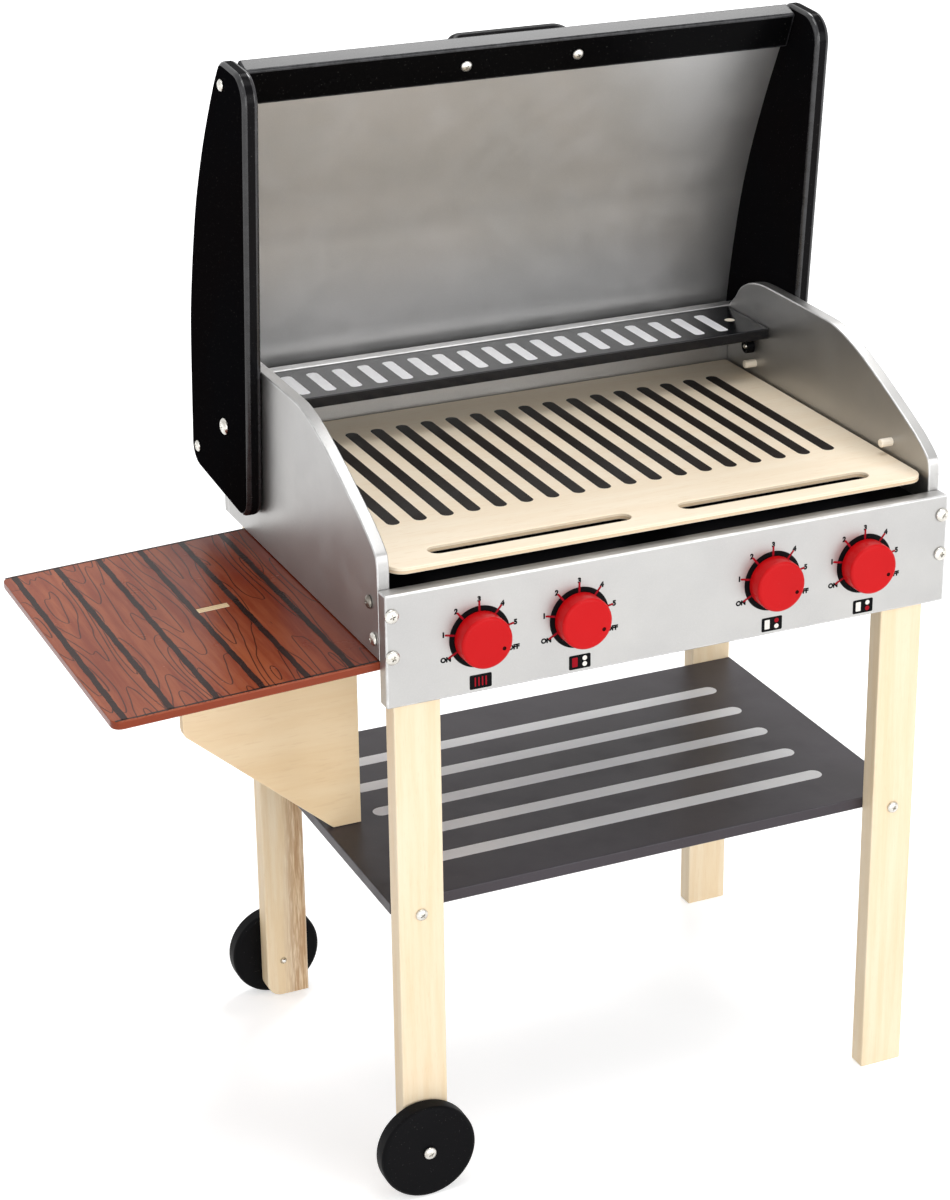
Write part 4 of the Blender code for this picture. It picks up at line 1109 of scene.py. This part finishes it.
def makeKnob(number):
    node = f"knob_{number}"
    low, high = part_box(node)
    middle = (low + high) / 2
    radius = (high.x - low.x) / 2
    base, top, edge = seatGap, seatGap + knob["thickness"], knob["edge"]
    back = -(panelHigh.y - panelLow.y) - seatGap
    shaft, collar, end = knob["shaft"], knob["collar"], back - knob["collarLength"]
    soft = knob["baseEdge"]
    profile = [(0, top), *arcPoints((radius - edge, top - edge), edge, 90, 0, 8)]
    profile += arcPoints((radius - soft, base + soft), soft, 0, -90, 3)
    profile += [(shaft, base), (shaft, back), (collar, back), (collar, end), (0, end)]
    bm = lathe(profile, 96)
    angle = math.radians(knob["dotAngle"])
    dotX, dotY = knob["dotReach"] * math.cos(angle), knob["dotReach"] * math.sin(angle)
    dot = rods([Matrix.Translation((dotX, dotY, top))], knob["dotRadius"], 2 * knob["dotDepth"], 24)
    bm = carve(bm, dot)
    floor = top - knob["dotDepth"] - weld
    # the dimple's faces take a dark red: painted shade of the hollow
    for face in bm.faces:
        spot = face.calc_center_median()
        inDot = math.hypot(spot.x - dotX, spot.y - dotY) < knob["dotRadius"] + weld
        if inDot and floor < spot.z < top - weld:
            face.material_index = 1
    place = Matrix.Translation((middle.x, frontFace, middle.z)) @ acrossY
    nodePiece(node, bm, ["knobRed", "dotShade"], place, node)
    return middle


def printDial(number, x, z):
    outer, inner = circle(dial["disc"], dial["steps"]), circle(dial["hole"], dial["steps"])
    printShape(f"dial_{number}_disc", flatBoard(outer, inkDepth, holes=[inner]), "inkBlack", x, z)
    ticks = bmesh.new()
    length = dial["tickEnd"] - dial["tickStart"]
    middle = (dial["tickEnd"] + dial["tickStart"]) / 2
    angles = [math.radians(dial["first"] - dial["step"] * i) for i in range(len(dial["texts"]))]
    for angle in angles:
        tick = flatBoard(slotRing((middle, 0), length, dial["tickWidth"], 6), inkDepth)
        tick.transform(Matrix.Rotation(angle, 4, "Z"))
        addShape(ticks, tick)
    printShape(f"dial_{number}_ticks", ticks, "inkRed", x, z, 1)
    for i, (text, angle) in enumerate(zip(dial["texts"], angles)):
        kind = "word" if len(text) > 1 else "text"
        reach = dial[f"{kind}Reach"]
        spot = (x + reach * math.cos(angle), z + reach * math.sin(angle))
        printText(f"dial_{number}_text_{i}", text, dial[f"{kind}Size"], *spot)


def printIcon(number, x, z):
    # which of the burners the knob turns: bars and round plates on a dark field
    field = roundRect((0, 0), icon["width"], icon["height"], icon["corner"])
    printShape(f"icon_{number}_field", flatBoard(field, inkDepth), "inkBlack", x, z)
    red, white = bmesh.new(), bmesh.new()
    bar, block = roundRect((0, 0), *icon["bar"]), roundRect((0, 0), *icon["block"])
    plate = circle(icon["plate"], 24)

    def put(target, ring, across, up):
        shape = flatBoard(ring, inkDepth)
        shape.transform(Matrix.Translation((across, up, 0)))
        addShape(target, shape)

    if number == 1:
        for i in range(4):
            put(red, bar, (i - 1.5) * icon["barPitch"], 0)
    else:
        put(red if number == 2 else white, block, -icon["across"], 0)
        put(red if number == 3 else white, plate, icon["across"], icon["rise"])
        put(red if number == 4 else white, plate, icon["across"], -icon["rise"])
    for shape, ink in ((red, "Red"), (white, "White")):
        if shape.verts:
            printShape(f"icon_{number}_{ink.lower()}", shape, f"ink{ink}", x, z, 1)


def makeControls():
    for number in range(1, 5):
        spot = makeKnob(number)
        printDial(number, spot.x, spot.z)
        printIcon(number, spot.x + icon["shift"], spot.z - icon["drop"])
    print("knobs and dials made")


# wheels

# the face is flat as far as flat says, then rises to its rim, in shares of the rim's radius
wheel = dict(
    edge=2.6 * mm, bore=2.5 * mm, dish=0.35 * mm, flat=0.55, rise=0.9, riseDrop=0.1 * mm, steps=128,
)


def makeWheel(end):
    node = f"wheel_{end}"
    low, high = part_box(node)
    middle = (low + high) / 2
    radius, half, edge = (high.x - low.x) / 2, (high.y - low.y) / 2, wheel["edge"]
    rim, dish = radius - edge, half - wheel["dish"]
    face = [(wheel["bore"], dish), (rim * wheel["flat"], dish)]
    face.append((rim * wheel["rise"], half - wheel["riseDrop"]))
    profile = face + arcPoints((rim, half - edge), edge, 90, 0, 8)
    profile += arcPoints((rim, edge - half), edge, 0, -90, 8) + [(r, -h) for r, h in reversed(face)]
    bm = lathe(profile, wheel["steps"], closed=True)
    nodePiece(node, bm, "wheelBlack", outward(middle, (0, -1, 0)), node)


# the lid, in its own frame: Y rises from the lid's open side to its skin, Z reaches to its front board

lidLean = 5
boltLow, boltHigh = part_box("hinge_bolt_left")
hingeSpot = Vector((middleX, (boltLow.y + boltHigh.y) / 2, (boltLow.z + boltHigh.z) / 2))
lidPlace = Matrix.Translation(hingeSpot) @ Matrix.Rotation(math.radians(lidLean), 4, "X")
lidPlate = dict(
    edge=2.8 * mm, segments=5, front=227.5 * mm, back=49.4 * mm, skirt=37.5 * mm, crown=65.4 * mm,
    frontCorner=17 * mm, heelCorner=16 * mm, rearCorner=14 * mm,
    crownShares=[  # of the front reach and of the crown
        (-0.09, 0.998), (0.0, 1.0), (0.147, 0.998), (0.243, 0.979), (0.389, 0.902), (0.535, 0.794),
        (0.634, 0.686), (0.734, 0.552), (0.834, 0.391), (0.935, 0.205), (0.987, 0.087),
    ],
    nose=[(0.998, 0.03), (1.0, -0.03)],
)
lidSkin = dict(
    thickness=3.5 * mm, recess=1.5 * mm, rearInset=13.9 * mm, edge=0.8 * mm,
    shares=[(0.057, 0.772), (0.215, 0.719), (0.382, 0.627), (0.47, 0.558), (0.571, 0.459), (0.73, 0.267)],
)
lidBoard = dict(
    width=24.5 * mm, thickness=12.5 * mm, edge=1.8 * mm, tilt=-18.1, inset=13.1 * mm, drop=2.2 * mm,
)
lidRail = dict(width=12.5 * mm, backInset=8.4 * mm, topInset=7.9 * mm, edge=1.2 * mm)
lidHandle = dict(radius=4.5 * mm, shift=3.8 * mm, halfSpan=36.6 * mm, offset=13 * mm, bend=6.5 * mm)
handleScrew = dict(radius=3.6 * mm, length=18 * mm, turn=25)


def makeLidPlate(side):
    node = f"lid_plate_{side}"
    low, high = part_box(node)
    front, crown = lidPlate["front"], lidPlate["crown"]
    back, skirt = lidPlate["back"], lidPlate["skirt"]
    nose, heel, rear = lidPlate["frontCorner"], lidPlate["heelCorner"], lidPlate["rearCorner"]
    outline = smoothLine([(crown * up, front * reach) for reach, up in lidPlate["crownShares"]])
    outline += [(crown * up, front * reach) for reach, up in lidPlate["nose"]]
    outline += arcPoints((-skirt + nose, front - nose), nose, 90, 180, 14)
    outline += arcPoints((-skirt + heel, -back + heel), heel, 180, 270, 10)
    outline += arcPoints((crown - rear, -back + rear), rear, 270, 350, 10)
    bm = flatBoard(outline, high.x - low.x, lidPlate["edge"], lidPlate["segments"])
    bm = carve(bm, rods([Matrix.Identity(4)], hinge["shank"] + seatGap, cutterDepth))
    markFaces(bm, "Z")
    place = lidPlace @ Matrix.Translation(((low.x + high.x) / 2 - middleX, 0, 0)) @ acrossX
    nodePiece(node, bm, "plateBlack", place, "lid")


def boardPlace():
    # the lid's front board: its middle, with Y outward through it and Z along its width
    spot = (0, -lidBoard["drop"], lidPlate["front"] - lidBoard["inset"])
    return lidPlace @ Matrix.Translation(spot) @ Matrix.Rotation(math.radians(-lidBoard["tilt"]), 4, "X")


def boardSpot(along, out):
    spot = Matrix.Rotation(math.radians(-lidBoard["tilt"]), 4, "X") @ Vector((0, out, along))
    return spot.y - lidBoard["drop"], spot.z + lidPlate["front"] - lidBoard["inset"]


def makeLidSkin():
    low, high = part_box("lid_skin")
    railTop = -lidPlate["back"] + lidRail["backInset"] + lidRail["width"]
    along = -lidBoard["width"] / 2 - seatGap
    outer = lidBoard["thickness"] / 2 - lidSkin["recess"]
    inner = [(lidPlate["crown"] - lidSkin["rearInset"], railTop + seatGap)]
    inner += [(lidPlate["crown"] * up, lidPlate["front"] * reach) for reach, up in lidSkin["shares"]]
    inner.append(boardSpot(along, outer - lidSkin["thickness"]))
    inner = smoothLine(inner, 8)
    shell = [(inner[0][0] + lidSkin["thickness"], inner[0][1])]
    for before, here, after in zip(inner, inner[1:], inner[2:]):
        step = Vector(after) - Vector(before)
        shell.append(tuple(Vector(here) + Vector((step.y, -step.x)).normalized() * lidSkin["thickness"]))
    shell.append(boardSpot(along, outer))
    bm = flatBoard(inner + shell[::-1], high.x - low.x)
    width = high.x - low.x
    roundEdges(bm, foldEdges(bm, 2, width / 2, 2 * width), lidSkin["edge"], 3)
    markFaces(bm, "Z")
    nodePiece("lid_skin", bm, "lidSilver", lidPlace @ acrossX, "lid", sharp=30)
    return width


def makeLidBars(width):
    board = roundBox((width, lidBoard["thickness"], lidBoard["width"]), lidBoard["edge"], 4)
    markFaces(board, "Y", boxy=True)
    nodePiece("lid_front_board", board, "boardBlack", boardPlace(), "lid")
    low = -lidPlate["back"] + lidRail["backInset"]
    high = low + lidRail["width"]
    railOuter = lidPlate["crown"] - lidRail["topInset"]
    lean = math.radians(lidLean)
    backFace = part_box("back_panel")[1].y
    railInner = (backFace + seatGap - hingeSpot.y + math.sin(lean) * high) / math.cos(lean)
    rail = roundBox((width, railOuter - railInner, high - low), lidRail["edge"])
    markFaces(rail, "Y", boxy=True)
    place = lidPlace @ Matrix.Translation((0, (railOuter + railInner) / 2, (high + low) / 2))
    nodePiece("lid_rear_rail", rail, "black", place, "lid")


def makeLidHandle():
    foot = lidBoard["thickness"] / 2 + seatGap
    bar = lidBoard["thickness"] / 2 + lidHandle["offset"]
    half, bend = lidHandle["halfSpan"], lidHandle["bend"]
    path = [(half, foot), *arcPoints((half - bend, bar - bend), bend, 0, 90, 10)]
    path += [(-x, out) for x, out in reversed(path)]
    curve = bpy.data.curves.new("handle path", "CURVE")
    curve.dimensions = "3D"
    curve.bevel_depth = lidHandle["radius"]
    curve.bevel_resolution = 8
    curve.use_fill_caps = True
    spline = curve.splines.new("POLY")
    spline.points.add(len(path) - 1)
    for point, (x, out) in zip(spline.points, path):
        point.co = (x, out, 0, 1)
    bm = shapeFromCurve(curve)
    place = boardPlace() @ Matrix.Translation((-lidHandle["shift"], 0, 0))  # a little left of the middle
    nodePiece("lid_handle", bm, "handleBlack", place, "lid")
    for side, sign in sides.items():
        shape = screwTemplate(handleScrew["radius"], screw["head"], handleScrew["length"], screw["shank"])
        seat = Matrix.Translation((sign * half, -lidBoard["thickness"] / 2 - seatGap, 0)) @ acrossY
        turn = Matrix.Rotation(math.radians(handleScrew["turn"] * sign), 4, "Z")
        nodePiece(f"handle_screw_{side}", shape, "steel", place @ seat @ turn, "lid")


def makeLid():
    for side in sides:
        makeLidPlate(side)
    width = makeLidSkin()
    makeLidBars(width)
    makeLidHandle()
    print("lid made")


makeHinges()
makeControls()
makeWheel("front")
makeWheel("rear")
makeLid()


# studio

studio = dict(
    floorSize=60, floorColour=(0.9, 0.9, 0.9, 1), floorRough=0.9, floorGlow=0.48, glowNear=0.7,
    glowFar=3.0, skyLight=0.5, aimHeight=0.35,
)
lamps = [
    dict(name="Key", place=(1.2, -2.6, 1.3), size=1.6, power=29),
    dict(name="Front", place=(-0.7, -2.7, 0.85), size=1.6, power=18),
    dict(name="Fill", place=(-2.5, -1.1, 1.6), size=2.2, power=7),
    dict(name="Top", place=(0.2, -0.4, 2.9), size=1.2, power=19),
    dict(name="Back", place=(1.0, 1.2, 2.5), size=0.9, power=24),
]
view = dict(
    place=(-0.6409, -1.47427, 0.99557), turn=(68.4678, 0.5555, -24.2705), lens=85.9,
    shift=(-0.01353, -0.06157),
)


def seenDirectly(tree):
    # 1 for rays that come from the camera, straight or over gloss and glass
    path = tree.nodes.new("ShaderNodeLightPath").outputs
    seen = calc(tree, "ADD", path["Is Camera Ray"], path["Is Glossy Ray"])
    return calc(tree, "MINIMUM", calc(tree, "ADD", seen, path["Is Transmission Ray"]), 1.0)


def makeFloor():
    bm = bmesh.new()
    bmesh.ops.create_grid(bm, x_segments=1, y_segments=1, size=studio["floorSize"] / 2)
    mesh = bpy.data.meshes.new("Floor")
    bm.to_mesh(mesh)
    bm.free()
    floor = bpy.data.objects.new("Floor", mesh)
    bpy.context.scene.collection.objects.link(floor)
    material = bpy.data.materials.new("Floor")
    material.use_nodes = True
    tree = material.node_tree
    shader = tree.nodes["Principled BSDF"]
    spot = tree.nodes.new("ShaderNodeTexCoord").outputs["Object"]
    distance = addNode(tree, "ShaderNodeVectorMath", {0: spot}, operation="LENGTH").outputs["Value"]
    glow = span(tree, distance, studio["glowNear"], studio["glowFar"], studio["floorGlow"], 1.0)
    shader.inputs["Emission Color"].default_value = (1, 1, 1, 1)
    tree.links.new(calc(tree, "MULTIPLY", glow, seenDirectly(tree)), shader.inputs["Emission Strength"])
    shader.inputs["Base Color"].default_value = studio["floorColour"]
    shader.inputs["Roughness"].default_value = studio["floorRough"]
    shader.inputs["Specular IOR Level"].default_value = 0.0
    mesh.materials.append(material)


def makeWorld():
    world = bpy.data.worlds.new("Studio")
    bpy.context.scene.world = world
    world.use_nodes = True
    tree = world.node_tree
    ground = tree.nodes["Background"]
    ground.inputs["Color"].default_value = (1, 1, 1, 1)
    strength = calc(tree, "MULTIPLY_ADD", seenDirectly(tree), 1.0 - studio["skyLight"], studio["skyLight"])
    tree.links.new(strength, ground.inputs["Strength"])


def makeLamps():
    target = Vector((middleX, 0, studio["aimHeight"]))
    for lamp in lamps:
        light = bpy.data.lights.new(lamp["name"], "AREA")
        light.size = lamp["size"]
        light.energy = lamp["power"]
        holder = bpy.data.objects.new(lamp["name"], light)
        holder.location = lamp["place"]
        holder.rotation_euler = (target - Vector(lamp["place"])).to_track_quat("-Z", "Y").to_euler()
        bpy.context.scene.collection.objects.link(holder)


def makeCamera():
    camera = bpy.data.objects.new("Camera", bpy.data.cameras.new("Camera"))
    camera.location = view["place"]
    camera.rotation_euler = [math.radians(angle) for angle in view["turn"]]
    camera.data.lens = view["lens"]
    camera.data.shift_x, camera.data.shift_y = view["shift"]
    bpy.context.scene.collection.objects.link(camera)
    bpy.context.scene.camera = camera


makeFloor()
makeWorld()
makeLamps()
makeCamera()
bpy.context.scene.view_settings.view_transform = "Standard"
for template in templates.values():
    bpy.data.meshes.remove(template)
print("studio made")
